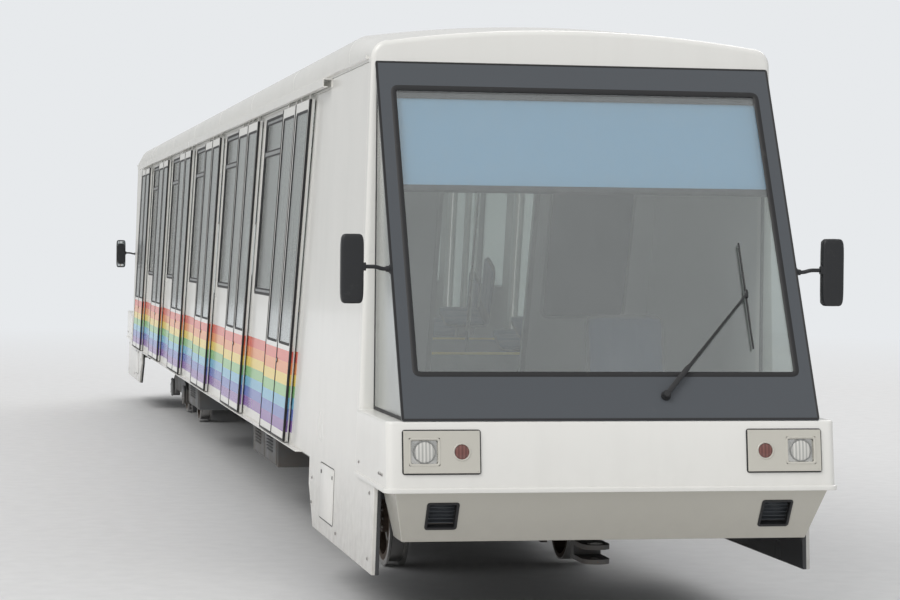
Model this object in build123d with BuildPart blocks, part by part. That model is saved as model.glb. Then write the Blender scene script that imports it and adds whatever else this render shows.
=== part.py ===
"""Funicular car: one body on two bogies, with a cab at each end and six double doors a side.

Millimetres. X is across the track, Y along it and downhill, Z square to it.
The origin is at the middle of the car, on the level of the wheel flanges' lowest points.
Door and window posts lean in the side's plane, so that they stand upright on the slope.
"""
import os
from math import cos, radians, sin, tan

from build123d import *

os.makedirs("parts", exist_ok=True)

# Whole car
car_length = 23500
prow = 1100            # from the nose's lip back to the body's first full section
tumble = 1.5           # degrees that the side walls lean inwards
wall_foot = 1285       # half width of the walls' outer faces, carried down to height 0
post_lean = 20         # degrees, the slope that the posts stand upright on
belt = 1440            # height where the painted band meets the glass
wall = 45              # thickness of body walls

# Heights of the body
sill_low = 780
eaves = 3250
roof_edge = 3470
roof_crown = 3545
roof_corner = 130      # radius of the roof's edges
brow_edge = 3370
brow_crown = 3450
brow_corner = 100
roof_wall = 50
brow_run = 900         # length of roof that slopes down to each end

# Doors and windows
bays = 6
first_door = 4100      # from the uphill lip to the first door, at belt height
last_door = 2170       # from the last door to the downhill lip
door_width = 1480      # both leaves
bay = (car_length - first_door - last_door - door_width) / (bays - 1)
door_lap = 45          # how far a closed leaf covers the wall beside the doorway
door_head = 3110
leaf_low = 795
leaf_high = 3160
leaf_gap = 10          # between the wall and a leaf
leaf_thick = 36
leaf_meet = 6          # between the two closed leaves
leaf_stile = 64
leaf_glass_low = 1480
leaf_glass_high = 3090
open_gap = 270         # between the leaves of neighbouring doors when they are open
door_travel = (bay - door_width - open_gap) / 2
window_pillar = 210    # from a door to the window beside it
window_width = bay - door_width - 2 * window_pillar
window_start = door_width + window_pillar
window_low = 1800
window_high = 3150
frame_bar = 35
frame_set = 4          # window frames behind the wall's face, and panes behind their frames
vent_bar = 2870        # foot of the bar under the opening light
glass = 8

# Runner that the leaves hang from
runner_low = 3194
runner_high = 3249
runner_deep = 62
runner_sheet = 6
roller_radius = 16
roller_play = 0.3
hanger_inset = 150

# Ends
screen_low = 1230
screen_set = 50        # foot of the windscreen behind the lip
screen_half = 1168
screen_frame = 88
screen_low_bar = 280
screen_top_bar = 175
screen_thick = 45
screen_glass = 10
screen_recess = 6
quarter_inset = 8
sign_low = 1470
sign_high = 2060
sign_half = 1122
sign_thick = 12
lip_high = 870
lip_low = 845
lip_out = 14
nose_half = 1266
nose_wall = 40
foot_ledge = 10        # of the nose's top, behind the screen frame's foot and inside the quarter glass
chin_low = 560
chin_top_set = 20
chin_set = 200
chin_half_low = 1150
port_size = (165, 145)
port_x = 945
port_z = 710
skirt_low = 345
skirt_front = 470
skirt_run = 2750
skirt_corner = 260
portal_deep = 80

# Lamps
lamp_x = 965
lamp_z = 1065
lamp_unit = (420, 230)
lamp_proud = 16
lens_recess = 5
head_lamp = (170, 150)
head_lamp_x = 95
tail_lamp_radius = 42
tail_lamp_x = 110

# Mirrors and wipers
mirror_size = (128, 70, 390)
mirror_x = 1394
mirror_z = 2050
mirror_arm = 14
wiper_x = 310
wiper_up = 150
wiper_arm = 820
wiper_blade = 670
wiper_turn = 41
wiper_clear = 6
wiper_seat = 0.3

# Underframe
frame_low = 690
frame_high = 840
beam_x = 440
beam_wide = 120
cross_low = 785
cross_wide = 70
cross_count = 14
sill_deep = 95
bolster_half = 950
bolster_wide = 340
headstock_set = 640
headstock_deep = 80
headstock_half = 1000
pad_y = 9600           # jacking pads under the main beams
pad_size = 160
pad_thick = 20
floor_low = 900
floor_sheet = 45
steps = 6

# Bogies and wheels
bogie_set = 4550       # from a lip to the bogie's centre
bogie_y = car_length / 2 - bogie_set
wheelbase = 1800
flange_radius = 328
tread_radius = 300
wheel_x = 635
groove_half = 42
flange_thick = 25
roller_half = 100
axle_radius = 62
journal_radius = 45
journal_play = 0.05
hub_radius = 100
web_half = 16
side_beam_x = 840
side_beam_thick = 60
beam_top = 520
beam_foot = 320        # underside of the side beams between the axles
beam_tail = 190        # from an axle to the end of its side beam
beam_tail_high = 400
beam_tail_low = 250
beam_shoulder = 200    # from an axle to the top of the beam's slope
beam_bow = 360         # from an axle to the raised middle of the beam's underside
transom_low = 380
transom_high = 560
transom_half = 150
bowl_radius = 210
bowl_high = 600
pad_gap = 0.3
pin_radius = 60
pin_play = 0.1
pin_length = 170
spring_radius = 85
brake_wide = 190
brake_long = 180
jaw_thick = 45
jaw_low = 75

# Boxes slung below the floor
box_x = 820
box_wide = 520
box_low = 420

# Cabs and cabin
bulkhead_thick = 40
bulkhead_set = 150     # from the outermost doors to the bulkheads
cab_door = (640, 1850)
cab_floor_sheet = 40
desk_deep = 620
desk_high = 1240
desk_half = 900
seat_treads = (1, 3)   # treads of a flight that carry a seat at each side
seat_width = 440
seat_deep = 450
seat_high = 430
seat_pad = 80
seat_back_high = 900
seat_leg = 200
seat_clear = 30        # from the side wall
pole_radius = 17
pole_x = 720
driver_x = 450
driver_set = 1330      # from a lip to the driver's seat
driver_seat_width = 500

uphill_tip = -car_length / 2
downhill_tip = car_length / 2
lean = tan(radians(post_lean))
axle_z = flange_radius
screen_run = prow - screen_set
screen_rise = eaves - screen_low
screen_length = (screen_run**2 + screen_rise**2) ** 0.5
rake_cos = screen_rise / screen_length
rake_sin = screen_run / screen_length
nose_length = (screen_set**2 + (screen_low - lip_high) ** 2) ** 0.5
nose_cos = (screen_low - lip_high) / nose_length
nose_sin = screen_set / nose_length


def wall_x(z, depth=0):
    """Distance from the middle to the side wall's face, some way in from the outside, at height z."""
    return wall_foot - depth / cos(radians(tumble)) - z * tan(radians(tumble))


def side_plane(hand, out=0):
    """The plane of a side wall's outer face, or one parallel to it; sketch X is hand times Y."""
    z_dir = (hand * cos(radians(tumble)), 0, sin(radians(tumble)))
    return Plane(origin=(hand * wall_foot, 0, 0), x_dir=(0, hand, 0), z_dir=z_dir).offset(out)


def leaning(y, z):
    """Point at height z of the post line that crosses the belt at y."""
    return (y + lean * (belt - z), z)


def leaning_box(y_start, y_end, z_start, z_end):
    """Corners of an opening between two post lines."""
    return [leaning(y_start, z_start), leaning(y_end, z_start), leaning(y_end, z_end), leaning(y_start, z_end)]


def on_side(hand, points):
    """Corners given as Y and Z, as they are drawn on that side's plane."""
    return [(hand * y, z) for y, z in points]


def bay_start(index):
    return uphill_tip + first_door + index * bay


def platform_point(start, post):
    """Point where a bay's level platform meets a post line, some way down the bay."""
    z = floor_low + lean * post / (1 + lean**2)
    return leaning(start + post, z)


def tip_of(way):
    """Y of the nose's lip; way is -1 at the uphill end and 1 at the downhill end."""
    return way * car_length / 2


def screen_plane(way, out=0):
    """The raked plane of a windscreen's frame, from its foot's middle; sketch Y runs up it."""
    z_dir = (0, way * rake_cos, rake_sin)
    return Plane(origin=(0, tip_of(way) - way * screen_set, screen_low), x_dir=(-way, 0, 0), z_dir=z_dir).offset(out)


def lamp_plane(way):
    """The nose's leaning front face, from its middle at the lamps' height."""
    set_back = screen_set * (lamp_z - lip_high) / (screen_low - lip_high)
    z_dir = (0, way * nose_cos, nose_sin)
    return Plane(origin=(0, tip_of(way) - way * set_back, lamp_z), x_dir=(-way, 0, 0), z_dir=z_dir)


def save(piece, name):
    piece.part.label = name
    export_step(piece.part, f"parts/{name}.step")


hands = (("left", -1), ("right", 1))
ends = (("uphill", -1), ("downhill", 1))
passenger_start = bay_start(0) - 90
passenger_end = bay_start(bays - 1) + door_width + 90

# Side walls of the passenger part, with doorways and windows cut
for name, hand in hands:
    with BuildPart() as side_wall:
        with BuildSketch(side_plane(hand)):
            Polygon(*on_side(hand, leaning_box(passenger_start, passenger_end, sill_low, eaves)), align=None)
            for index in range(bays):
                start = bay_start(index)
                left = start + door_lap
                right = start + door_width - door_lap
                doorway = [
                    platform_point(start, door_lap),
                    platform_point(start, door_width - door_lap),
                    leaning(right, door_head),
                    leaning(left, door_head),
                ]
                Polygon(*on_side(hand, doorway), align=None, mode=Mode.SUBTRACT)
                if index < bays - 1:
                    left = start + window_start
                    window = leaning_box(left, left + window_width, window_low, window_high)
                    Polygon(*on_side(hand, window), align=None, mode=Mode.SUBTRACT)
        extrude(amount=-wall)
    save(side_wall, f"side_wall_{name}")

# Window frames with the bar under each opening light, and their panes
for name, hand in hands:
    with BuildPart() as frames:
        with BuildSketch(side_plane(hand, -wall)):
            for index in range(bays - 1):
                left = bay_start(index) + window_start
                hole = leaning_box(left, left + window_width, window_low, window_high)
                low = leaning_box(left + frame_bar, left + window_width - frame_bar, window_low + frame_bar, vent_bar)
                high = leaning_box(
                    left + frame_bar, left + window_width - frame_bar, vent_bar + frame_bar, window_high - frame_bar
                )
                Polygon(*on_side(hand, hole), align=None)
                Polygon(*on_side(hand, low), align=None, mode=Mode.SUBTRACT)
                Polygon(*on_side(hand, high), align=None, mode=Mode.SUBTRACT)
        extrude(amount=wall - frame_set)
    save(frames, f"window_frames_{name}")
    with BuildPart() as panes:
        with BuildSketch(side_plane(hand, -2 * frame_set - glass)):
            for index in range(bays - 1):
                left = bay_start(index) + window_start
                low = leaning_box(left + frame_bar, left + window_width - frame_bar, window_low + frame_bar, vent_bar)
                high = leaning_box(
                    left + frame_bar, left + window_width - frame_bar, vent_bar + frame_bar, window_high - frame_bar
                )
                Polygon(*on_side(hand, low), align=None)
                Polygon(*on_side(hand, high), align=None)
        extrude(amount=glass)
    save(panes, f"side_glass_{name}")

# Door leaves: the uphill and the downhill leaves of a side each move together
leaf_width = (door_width - leaf_meet) / 2
for name, hand in hands:
    for set_name, shift in (("uphill", 0), ("downhill", leaf_width + leaf_meet)):
        with BuildPart() as leaves:
            with BuildSketch(side_plane(hand, leaf_gap)):
                for index in range(bays):
                    start = bay_start(index) + shift
                    outline = leaning_box(start, start + leaf_width, leaf_low, leaf_high)
                    light = leaning_box(
                        start + leaf_stile, start + leaf_width - leaf_stile, leaf_glass_low, leaf_glass_high
                    )
                    Polygon(*on_side(hand, outline), align=None)
                    Polygon(*on_side(hand, light), align=None, mode=Mode.SUBTRACT)
            extrude(amount=leaf_thick)
            roller_z = runner_low + runner_sheet + roller_play + roller_radius
            for index in range(bays):
                for along in (hanger_inset, leaf_width - hanger_inset):
                    y = leaning(bay_start(index) + shift + along, leaf_high)[0]
                    with BuildSketch(side_plane(hand, leaf_gap + 4)):
                        with Locations((hand * y, (leaf_high + roller_z) / 2)):
                            Rectangle(36, roller_z - leaf_high)
                        with Locations((hand * y, roller_z)):
                            Circle(18)
                    extrude(amount=14)
                    with BuildSketch(side_plane(hand, leaf_gap + 18)):
                        with Locations((hand * y, roller_z)):
                            Circle(roller_radius)
                    extrude(amount=22)
        save(leaves, f"{set_name}_leaves_{name}")
        with BuildPart() as leaf_glass:
            with BuildSketch(side_plane(hand, leaf_gap + leaf_thick - frame_set - glass)):
                for index in range(bays):
                    start = bay_start(index) + shift
                    light = leaning_box(
                        start + leaf_stile, start + leaf_width - leaf_stile, leaf_glass_low, leaf_glass_high
                    )
                    Polygon(*on_side(hand, light), align=None)
            extrude(amount=glass)
        save(leaf_glass, f"{set_name}_leaf_glass_{name}")

# Runner over the doors, which the leaves' rollers hang in, and the guide at their feet
runner_start = leaning(bay_start(0) - door_travel - 30, runner_low)[0]
runner_end = leaning(bay_start(bays - 1) + door_width + door_travel + 30, runner_low)[0]
guide_start = leaning(bay_start(0) - door_travel - 10, leaf_low)[0]
guide_end = leaning(bay_start(bays - 1) + door_width + door_travel + 10, leaf_low)[0]
for name, hand in hands:
    with BuildPart() as runner:
        with BuildSketch(side_plane(hand)):
            with Locations((hand * (runner_start + runner_end) / 2, (runner_low + runner_high) / 2)):
                Rectangle(runner_end - runner_start, runner_high - runner_low)
        extrude(amount=runner_deep)
        with BuildSketch(side_plane(hand, runner_sheet)):
            with Locations((hand * (runner_start + runner_end) / 2, (runner_low + runner_high) / 2)):
                Rectangle(runner_end - runner_start, runner_high - runner_low - 2 * runner_sheet)
        extrude(amount=runner_deep - 2 * runner_sheet, mode=Mode.SUBTRACT)
        with BuildSketch(side_plane(hand, runner_sheet)):
            with Locations((hand * (runner_start + runner_end) / 2, runner_low + runner_sheet / 2)):
                Rectangle(runner_end - runner_start, runner_sheet)
        extrude(amount=leaf_gap + 14, mode=Mode.SUBTRACT)
        with BuildSketch(side_plane(hand)):
            with Locations((hand * (guide_start + guide_end) / 2, sill_low + 4)):
                Rectangle(guide_end - guide_start, 8)
        extrude(amount=leaf_gap + leaf_thick)
    save(runner, f"door_runner_{name}")

# Sides of the two ends, each with its deep skirt
for end, way in ends:
    tip = tip_of(way)
    for name, hand in hands:
        limit = passenger_start if way < 0 else passenger_end
        portal_y = tip - way * (prow + portal_deep)
        skirt_back = tip - way * (skirt_front + skirt_run)
        with BuildPart() as cab_side:
            with BuildSketch(side_plane(hand)):
                upper = [
                    (portal_y, lip_low),
                    (portal_y, eaves),
                    leaning(limit, eaves),
                    leaning(limit, sill_low),
                    (portal_y, sill_low),
                ]
                Polygon(*on_side(hand, upper), align=None)
                skirt = [
                    (tip - way * skirt_front, skirt_low),
                    (tip - way * skirt_front, lip_low),
                    (portal_y, lip_low),
                    (portal_y, sill_low),
                    (skirt_back, sill_low),
                    (skirt_back, skirt_low + skirt_corner),
                    (skirt_back + way * skirt_corner, skirt_low),
                ]
                Polygon(*on_side(hand, skirt), align=None)
            extrude(amount=-wall)
        save(cab_side, f"{end}_cab_side_{name}")


def roof_ring(crown, edge, corner):
    """Roof section between its outer and inner skins, from eaves to eaves."""
    foot = wall_x(eaves)
    inner = foot - roof_wall
    shoulder = foot - corner
    with BuildSketch() as ring:
        with BuildLine():
            Line((-foot, eaves), (-foot, edge - corner))
            RadiusArc((-foot, edge - corner), (-shoulder, edge), corner)
            ThreePointArc((-shoulder, edge), (0, crown), (shoulder, edge))
            RadiusArc((shoulder, edge), (foot, edge - corner), corner)
            Line((foot, edge - corner), (foot, eaves))
            Line((foot, eaves), (inner, eaves))
            Line((inner, eaves), (inner, edge - corner))
            RadiusArc((inner, edge - corner), (shoulder, edge - roof_wall), -(corner - roof_wall))
            ThreePointArc((shoulder, edge - roof_wall), (0, crown - roof_wall), (-shoulder, edge - roof_wall))
            RadiusArc((-shoulder, edge - roof_wall), (-inner, edge - corner), -(corner - roof_wall))
            Line((-inner, edge - corner), (-inner, eaves))
            Line((-inner, eaves), (-foot, eaves))
        make_face()
    return ring.sketch


def inside_section(low, crown, edge, corner):
    """Section of the space inside the walls and the roof, from a height up."""
    foot = wall_x(eaves, wall)
    inner = wall_x(eaves) - roof_wall
    shoulder = wall_x(eaves) - corner
    with BuildSketch() as section:
        with BuildLine():
            Polyline((-inner, edge - corner), (-inner, eaves), (-foot, eaves), (-wall_x(low, wall), low))
            Line((-wall_x(low, wall), low), (wall_x(low, wall), low))
            Polyline((wall_x(low, wall), low), (foot, eaves), (inner, eaves), (inner, edge - corner))
            Line((inner, edge - corner), (shoulder, edge - roof_wall))
            ThreePointArc((shoulder, edge - roof_wall), (0, crown - roof_wall), (-shoulder, edge - roof_wall))
            Line((-shoulder, edge - roof_wall), (-inner, edge - corner))
        make_face()
    return section.sketch


# Roof, with a part at each end that slopes down to the brow
roof_start = uphill_tip + prow + brow_run
roof_end = downhill_tip - prow - brow_run
with BuildPart() as roof:
    with BuildSketch(Plane.XZ.offset(-roof_end)):
        add(roof_ring(roof_crown, roof_edge, roof_corner))
    extrude(amount=roof_end - roof_start)
save(roof, "roof")
for end, way in ends:
    tip = tip_of(way)
    inner_y = roof_start if way < 0 else roof_end
    with BuildPart() as brow:
        with BuildSketch(Plane.XZ.offset(-inner_y)):
            add(roof_ring(roof_crown, roof_edge, roof_corner))
        with BuildSketch(Plane.XZ.offset(-(tip - way * prow))):
            add(roof_ring(brow_crown, brow_edge, brow_corner))
        loft(ruled=True)
    save(brow, f"{end}_brow")

# Noses, chins, and the portals that the screens close against
frame_half = screen_half + quarter_inset
light_half = frame_half - screen_frame
light_low = screen_low_bar
light_high = screen_length - screen_top_bar
screen_back = screen_set + screen_thick / rake_cos + foot_ledge
for end, way in ends:
    tip = tip_of(way)
    portal_y = tip - way * prow
    chin_back = tip - way * skirt_front

    with BuildPart() as nose:
        with BuildSketch(Plane.YZ.offset(-nose_half)):
            with BuildLine():
                Polyline(
                    (tip, lip_high),
                    (tip - way * screen_set, screen_low),
                    (portal_y, screen_low),
                    (portal_y, lip_low),
                    (tip, lip_low),
                    close=True,
                )
            make_face()
        extrude(amount=2 * nose_half)
        with BuildSketch(Plane.YZ.offset(nose_wall - nose_half)):
            Polygon(
                (tip - way * nose_wall / nose_cos, lip_low),
                (tip - way * (nose_wall / nose_cos + screen_set), screen_low - nose_wall),
                (portal_y, screen_low - nose_wall),
                (portal_y, lip_low),
                align=None,
            )
        extrude(amount=2 * (nose_half - nose_wall), mode=Mode.SUBTRACT)
        with BuildSketch(Plane.XY.offset(screen_low)):
            with Locations((0, (tip - way * screen_back + portal_y) / 2)):
                Rectangle(2 * (screen_half - screen_glass - foot_ledge), prow - screen_back)
        extrude(amount=-nose_wall, mode=Mode.SUBTRACT)
        with BuildSketch(Plane.XY.offset(lip_low)):
            with Locations((0, (tip + way * lip_out + portal_y) / 2)):
                Rectangle(2 * (nose_half + lip_out), prow + lip_out)
            with Locations((0, (tip - way * nose_wall + portal_y) / 2)):
                Rectangle(2 * (nose_half - nose_wall), prow - nose_wall, mode=Mode.SUBTRACT)
        extrude(amount=lip_high - lip_low)
    save(nose, f"{end}_nose")

    with BuildPart() as chin:
        for shrink, mode in ((0, Mode.ADD), (nose_wall, Mode.SUBTRACT)):
            with BuildSketch(Plane.XY.offset(lip_low)):
                with Locations((0, (tip - way * (chin_top_set + shrink) + chin_back) / 2)):
                    Rectangle(2 * (wall_x(lip_low, wall) - shrink), skirt_front - chin_top_set - shrink)
            with BuildSketch(Plane.XY.offset(chin_low)):
                with Locations((0, (tip - way * (chin_set + shrink) + chin_back) / 2)):
                    Rectangle(2 * (chin_half_low - shrink), skirt_front - chin_set - shrink)
            loft(ruled=True, mode=mode)
        with BuildSketch(Plane.XZ.offset(-tip)):
            with Locations((-port_x, port_z), (port_x, port_z)):
                Rectangle(*port_size)
        extrude(amount=way * skirt_front, mode=Mode.SUBTRACT)
    save(chin, f"{end}_chin")

    with BuildPart() as portal:
        with BuildSketch(Plane.XZ.offset(-portal_y)):
            foot = wall_x(lip_low)
            Polygon((-foot, lip_low), (foot, lip_low), (wall_x(eaves), eaves), (-wall_x(eaves), eaves), align=None)
            add(inside_section(eaves - 1, brow_crown, brow_edge, brow_corner))
            with Locations((0, (lip_low + eaves - portal_deep) / 2)):
                Rectangle(2 * (screen_half - 12), eaves - portal_deep - lip_low, mode=Mode.SUBTRACT)
        extrude(amount=way * portal_deep)
    save(portal, f"{end}_portal")

    with BuildPart() as screen_frames:
        with BuildSketch(screen_plane(way)):
            with Locations((0, screen_length / 2)):
                Rectangle(2 * frame_half, screen_length)
            with Locations((0, (light_low + light_high) / 2)):
                Rectangle(2 * light_half, light_high - light_low, mode=Mode.SUBTRACT)
        extrude(amount=-screen_thick)
        with BuildSketch(Plane.XY.offset(screen_low)):
            Rectangle(2 * car_length, 2 * car_length)
        extrude(amount=-screen_thick, mode=Mode.SUBTRACT)
        with BuildSketch(Plane.XZ.offset(-portal_y)):
            with Locations((0, screen_low + screen_rise / 2)):
                Rectangle(4 * screen_half, 2 * screen_rise)
        extrude(amount=way * screen_thick * 2, mode=Mode.SUBTRACT)
    save(screen_frames, f"{end}_screen_frame")

# Glass of the two ends, and the blank sign panels behind the heads of the windscreens
with BuildPart() as windscreens:
    for end, way in ends:
        with BuildSketch(screen_plane(way, -screen_recess)):
            with Locations((0, (light_low + light_high) / 2)):
                Rectangle(2 * light_half, light_high - light_low)
        extrude(amount=-screen_glass)
save(windscreens, "windscreens")
with BuildPart() as quarters:
    for end, way in ends:
        back_step = screen_thick / rake_cos
        down_step = screen_thick / rake_sin
        for x in (-screen_half, screen_half - screen_glass):
            with BuildSketch(Plane.YZ.offset(x)):
                Polygon(
                    (tip_of(way) - way * (screen_set + back_step), screen_low),
                    (tip_of(way) - way * prow, screen_low),
                    (tip_of(way) - way * prow, eaves - down_step),
                    align=None,
                )
            extrude(amount=screen_glass)
save(quarters, "quarter_glass")
with BuildPart() as signs:
    for end, way in ends:
        with BuildSketch(screen_plane(way, -screen_thick)):
            with Locations((0, (sign_low + sign_high) / 2)):
                Rectangle(2 * sign_half, sign_high - sign_low)
        extrude(amount=-sign_thick)
save(signs, "sign_panels")

# Lamp units on the noses: an oblong head lamp outboard and a round tail lamp inboard
with BuildPart() as lamp_units:
    for end, way in ends:
        with BuildSketch(lamp_plane(way)):
            for side in (-1, 1):
                with Locations((side * lamp_x, 0)):
                    Rectangle(*lamp_unit)
                with Locations((side * (lamp_x + head_lamp_x), 0)):
                    Rectangle(*head_lamp, mode=Mode.SUBTRACT)
                with Locations((side * (lamp_x - tail_lamp_x), 0)):
                    Circle(tail_lamp_radius, mode=Mode.SUBTRACT)
        extrude(amount=lamp_proud)
save(lamp_units, "lamp_housings")
with BuildPart() as head_lamps:
    for end, way in ends:
        with BuildSketch(lamp_plane(way)):
            with Locations((-lamp_x - head_lamp_x, 0), (lamp_x + head_lamp_x, 0)):
                Rectangle(*head_lamp)
        extrude(amount=lamp_proud - lens_recess)
save(head_lamps, "head_lamps")
with BuildPart() as tail_lamps:
    for end, way in ends:
        with BuildSketch(lamp_plane(way)):
            with Locations((tail_lamp_x - lamp_x, 0), (lamp_x - tail_lamp_x, 0)):
                Circle(tail_lamp_radius)
        extrude(amount=lamp_proud - lens_recess)
save(tail_lamps, "tail_lamps")

# Mirrors on arms from the screen frames, and the wipers
with BuildPart() as mirrors:
    for end, way in ends:
        frame_back = screen_set + (mirror_z - screen_low) * rake_sin / rake_cos + screen_thick / 2
        mirror_y = tip_of(way) - way * frame_back
        for side in (-1, 1):
            with Locations((side * mirror_x, mirror_y, mirror_z)):
                Box(*mirror_size)
            with BuildSketch(Plane.YZ.offset(side * frame_half)):
                with Locations((mirror_y, mirror_z)):
                    Circle(mirror_arm)
            extrude(amount=side * (mirror_x - frame_half))
save(mirrors, "mirrors")
arm_end = (wiper_x + wiper_arm * sin(radians(wiper_turn)), wiper_up + wiper_arm * cos(radians(wiper_turn)))
for end, way in ends:
    with BuildPart() as wiper:
        with BuildSketch(screen_plane(way, wiper_seat)):
            with Locations((wiper_x, wiper_up)):
                Circle(26)
        extrude(amount=42)
        with BuildSketch(screen_plane(way, wiper_clear + 18)):
            with BuildLine():
                Line((wiper_x, wiper_up), arm_end)
            trace(line_width=24)
        extrude(amount=14)
        with BuildSketch(screen_plane(way, wiper_clear)):
            with Locations(arm_end):
                Rectangle(18, wiper_blade)
        extrude(amount=20)
    save(wiper, f"{end}_wiper")

# Underframe: two main beams under cross members and headstocks, outer sills, and bolsters with the bogies' pins
beam_start = uphill_tip + headstock_set + headstock_deep
beam_end = downhill_tip - headstock_set - headstock_deep
with BuildPart() as main_beams:
    with BuildSketch(Plane.XY.offset(frame_low)):
        with Locations((-beam_x, 0), (beam_x, 0)):
            Rectangle(beam_wide, beam_end - beam_start)
    extrude(amount=cross_low - frame_low)
    with BuildSketch(Plane.XY.offset(frame_low)):
        with GridLocations(2 * beam_x, 2 * pad_y, 2, 2):
            Rectangle(pad_size, pad_size)
    extrude(amount=-pad_thick)
save(main_beams, "main_beams")
sill_x = wall_x(frame_high, wall) - cross_wide / 2
with BuildPart() as outer_sills:
    with BuildSketch(Plane.XY.offset(frame_high - sill_deep)):
        with Locations((-sill_x, 0), (sill_x, 0)):
            Rectangle(cross_wide, beam_end - beam_start)
    extrude(amount=sill_deep)
save(outer_sills, "outer_sills")
with BuildPart() as cross_members:
    with BuildSketch(Plane.XY.offset(cross_low)):
        with GridLocations(0, (beam_end - beam_start - 2 * cross_wide) / (cross_count - 1), 1, cross_count):
            Rectangle(2 * sill_x - cross_wide, cross_wide)
    extrude(amount=frame_high - cross_low)
    with BuildSketch(Plane.XY.offset(chin_low)):
        with Locations((0, beam_start - headstock_deep / 2), (0, beam_end + headstock_deep / 2)):
            Rectangle(2 * headstock_half, headstock_deep)
    extrude(amount=frame_high - chin_low)
save(cross_members, "cross_members")
with BuildPart() as bolsters:
    with BuildSketch(Plane.XY.offset(bowl_high + pad_gap)):
        with Locations((0, -bogie_y), (0, bogie_y)):
            Rectangle(2 * bolster_half, bolster_wide)
    extrude(amount=frame_low - bowl_high - pad_gap)
    with BuildSketch(Plane.XY.offset(bowl_high + pad_gap)):
        with Locations((0, -bogie_y), (0, bogie_y)):
            Circle(pin_radius)
    extrude(amount=-pin_length)
save(bolsters, "bolsters")

# Stepped floor: a level platform at each door and a flight of steps to the next
seat_spots = []
floor_line = [leaning(bay_start(0) - bulkhead_set + bulkhead_thick, floor_low)]
for index in range(bays):
    start = bay_start(index)
    floor_line.append(platform_point(start, 0))
    if index == bays - 1:
        floor_line.append(platform_point(start, door_width + bulkhead_set - bulkhead_thick))
        break
    y, z = platform_point(start, door_width)
    foot_y, foot_z = platform_point(start + bay, 0)
    floor_line.append((y, z))
    rise = (z - foot_z + lean * (foot_y - y)) / (1 + lean**2) / steps
    tread = (foot_y - y - steps * lean * rise) / (steps - 1)
    for step in range(steps - 1):
        floor_line.append((y + lean * rise, z - rise))
        y += lean * rise + tread
        z += lean * tread - rise
        floor_line.append((y, z))
        if step in seat_treads:
            seat_spots.append((y - tread / 2, z - lean * tread / 2))
first, last = floor_line[0], floor_line[-1]
floor_under = [(y, z - floor_sheet) for y, z in floor_line[1:-1]]
floor_under.insert(0, (first[0] + lean * floor_sheet, first[1] - floor_sheet))
floor_under.append((last[0] + lean * floor_sheet, last[1] - floor_sheet))
floor_half = wall_x(eaves / 2, wall)
with BuildPart() as floor:
    with BuildSketch(Plane.YZ.offset(-floor_half)):
        Polygon(*floor_line, *reversed(floor_under), align=None)
    extrude(amount=2 * floor_half)
save(floor, "stepped_floor")

# Bulkheads between the cabin and the cabs, the cabs' floors and the driver's desks
def bulkhead_line(way):
    """Belt-height Y of the bulkhead's face that looks into the cab."""
    if way < 0:
        return bay_start(0) - bulkhead_set
    return bay_start(bays - 1) + door_width + bulkhead_set


with BuildPart() as bulkheads:
    for end, way in ends:
        edge = bulkhead_line(way)
        with BuildSketch(Plane.YZ.offset(-wall_foot)):
            Polygon(*leaning_box(edge, edge - way * bulkhead_thick, frame_high, roof_crown), align=None)
        extrude(amount=2 * wall_foot)
    with BuildSketch(Plane.XZ.offset(-downhill_tip)):
        add(inside_section(frame_high, roof_crown, roof_edge, roof_corner))
    extrude(amount=car_length, mode=Mode.INTERSECT)
    last_platform = platform_point(bay_start(bays - 1), door_width + bulkhead_set)[1]
    for y, foot_z in ((uphill_tip + prow, floor_low), (0, last_platform - floor_sheet)):
        with BuildSketch(Plane.XZ.offset(-y)):
            with Locations((0, foot_z + cab_door[1] / 2)):
                Rectangle(*cab_door)
        extrude(amount=-car_length / 2, mode=Mode.SUBTRACT)
save(bulkheads, "bulkheads")
with BuildPart() as cab_floors:
    for end, way in ends:
        cab_back = leaning(bulkhead_line(way), frame_high if way > 0 else frame_high + cab_floor_sheet)[0]
        cab_front = tip_of(way) - way * 2 * nose_wall
        with BuildSketch(Plane.XY.offset(frame_high)):
            with Locations((0, (cab_back + cab_front) / 2)):
                Rectangle(2 * (screen_half - 20), abs(cab_front - cab_back))
        extrude(amount=cab_floor_sheet)
save(cab_floors, "cab_floors")
with BuildPart() as desks:
    for end, way in ends:
        front = tip_of(way) - way * (nose_wall + screen_set)
        foot_z = frame_high + cab_floor_sheet
        with BuildSketch(Plane.YZ.offset(-desk_half)):
            Polygon(
                (front, foot_z),
                (front, desk_high - 90),
                (front - way * desk_deep * 0.35, desk_high - 20),
                (front - way * desk_deep, desk_high - 130),
                (front - way * desk_deep, desk_high - 200),
                (front - way * desk_deep * 0.6, desk_high - 240),
                (front - way * desk_deep * 0.55, foot_z),
                align=None,
            )
        extrude(amount=2 * desk_half)
save(desks, "driver_desks")

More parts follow.
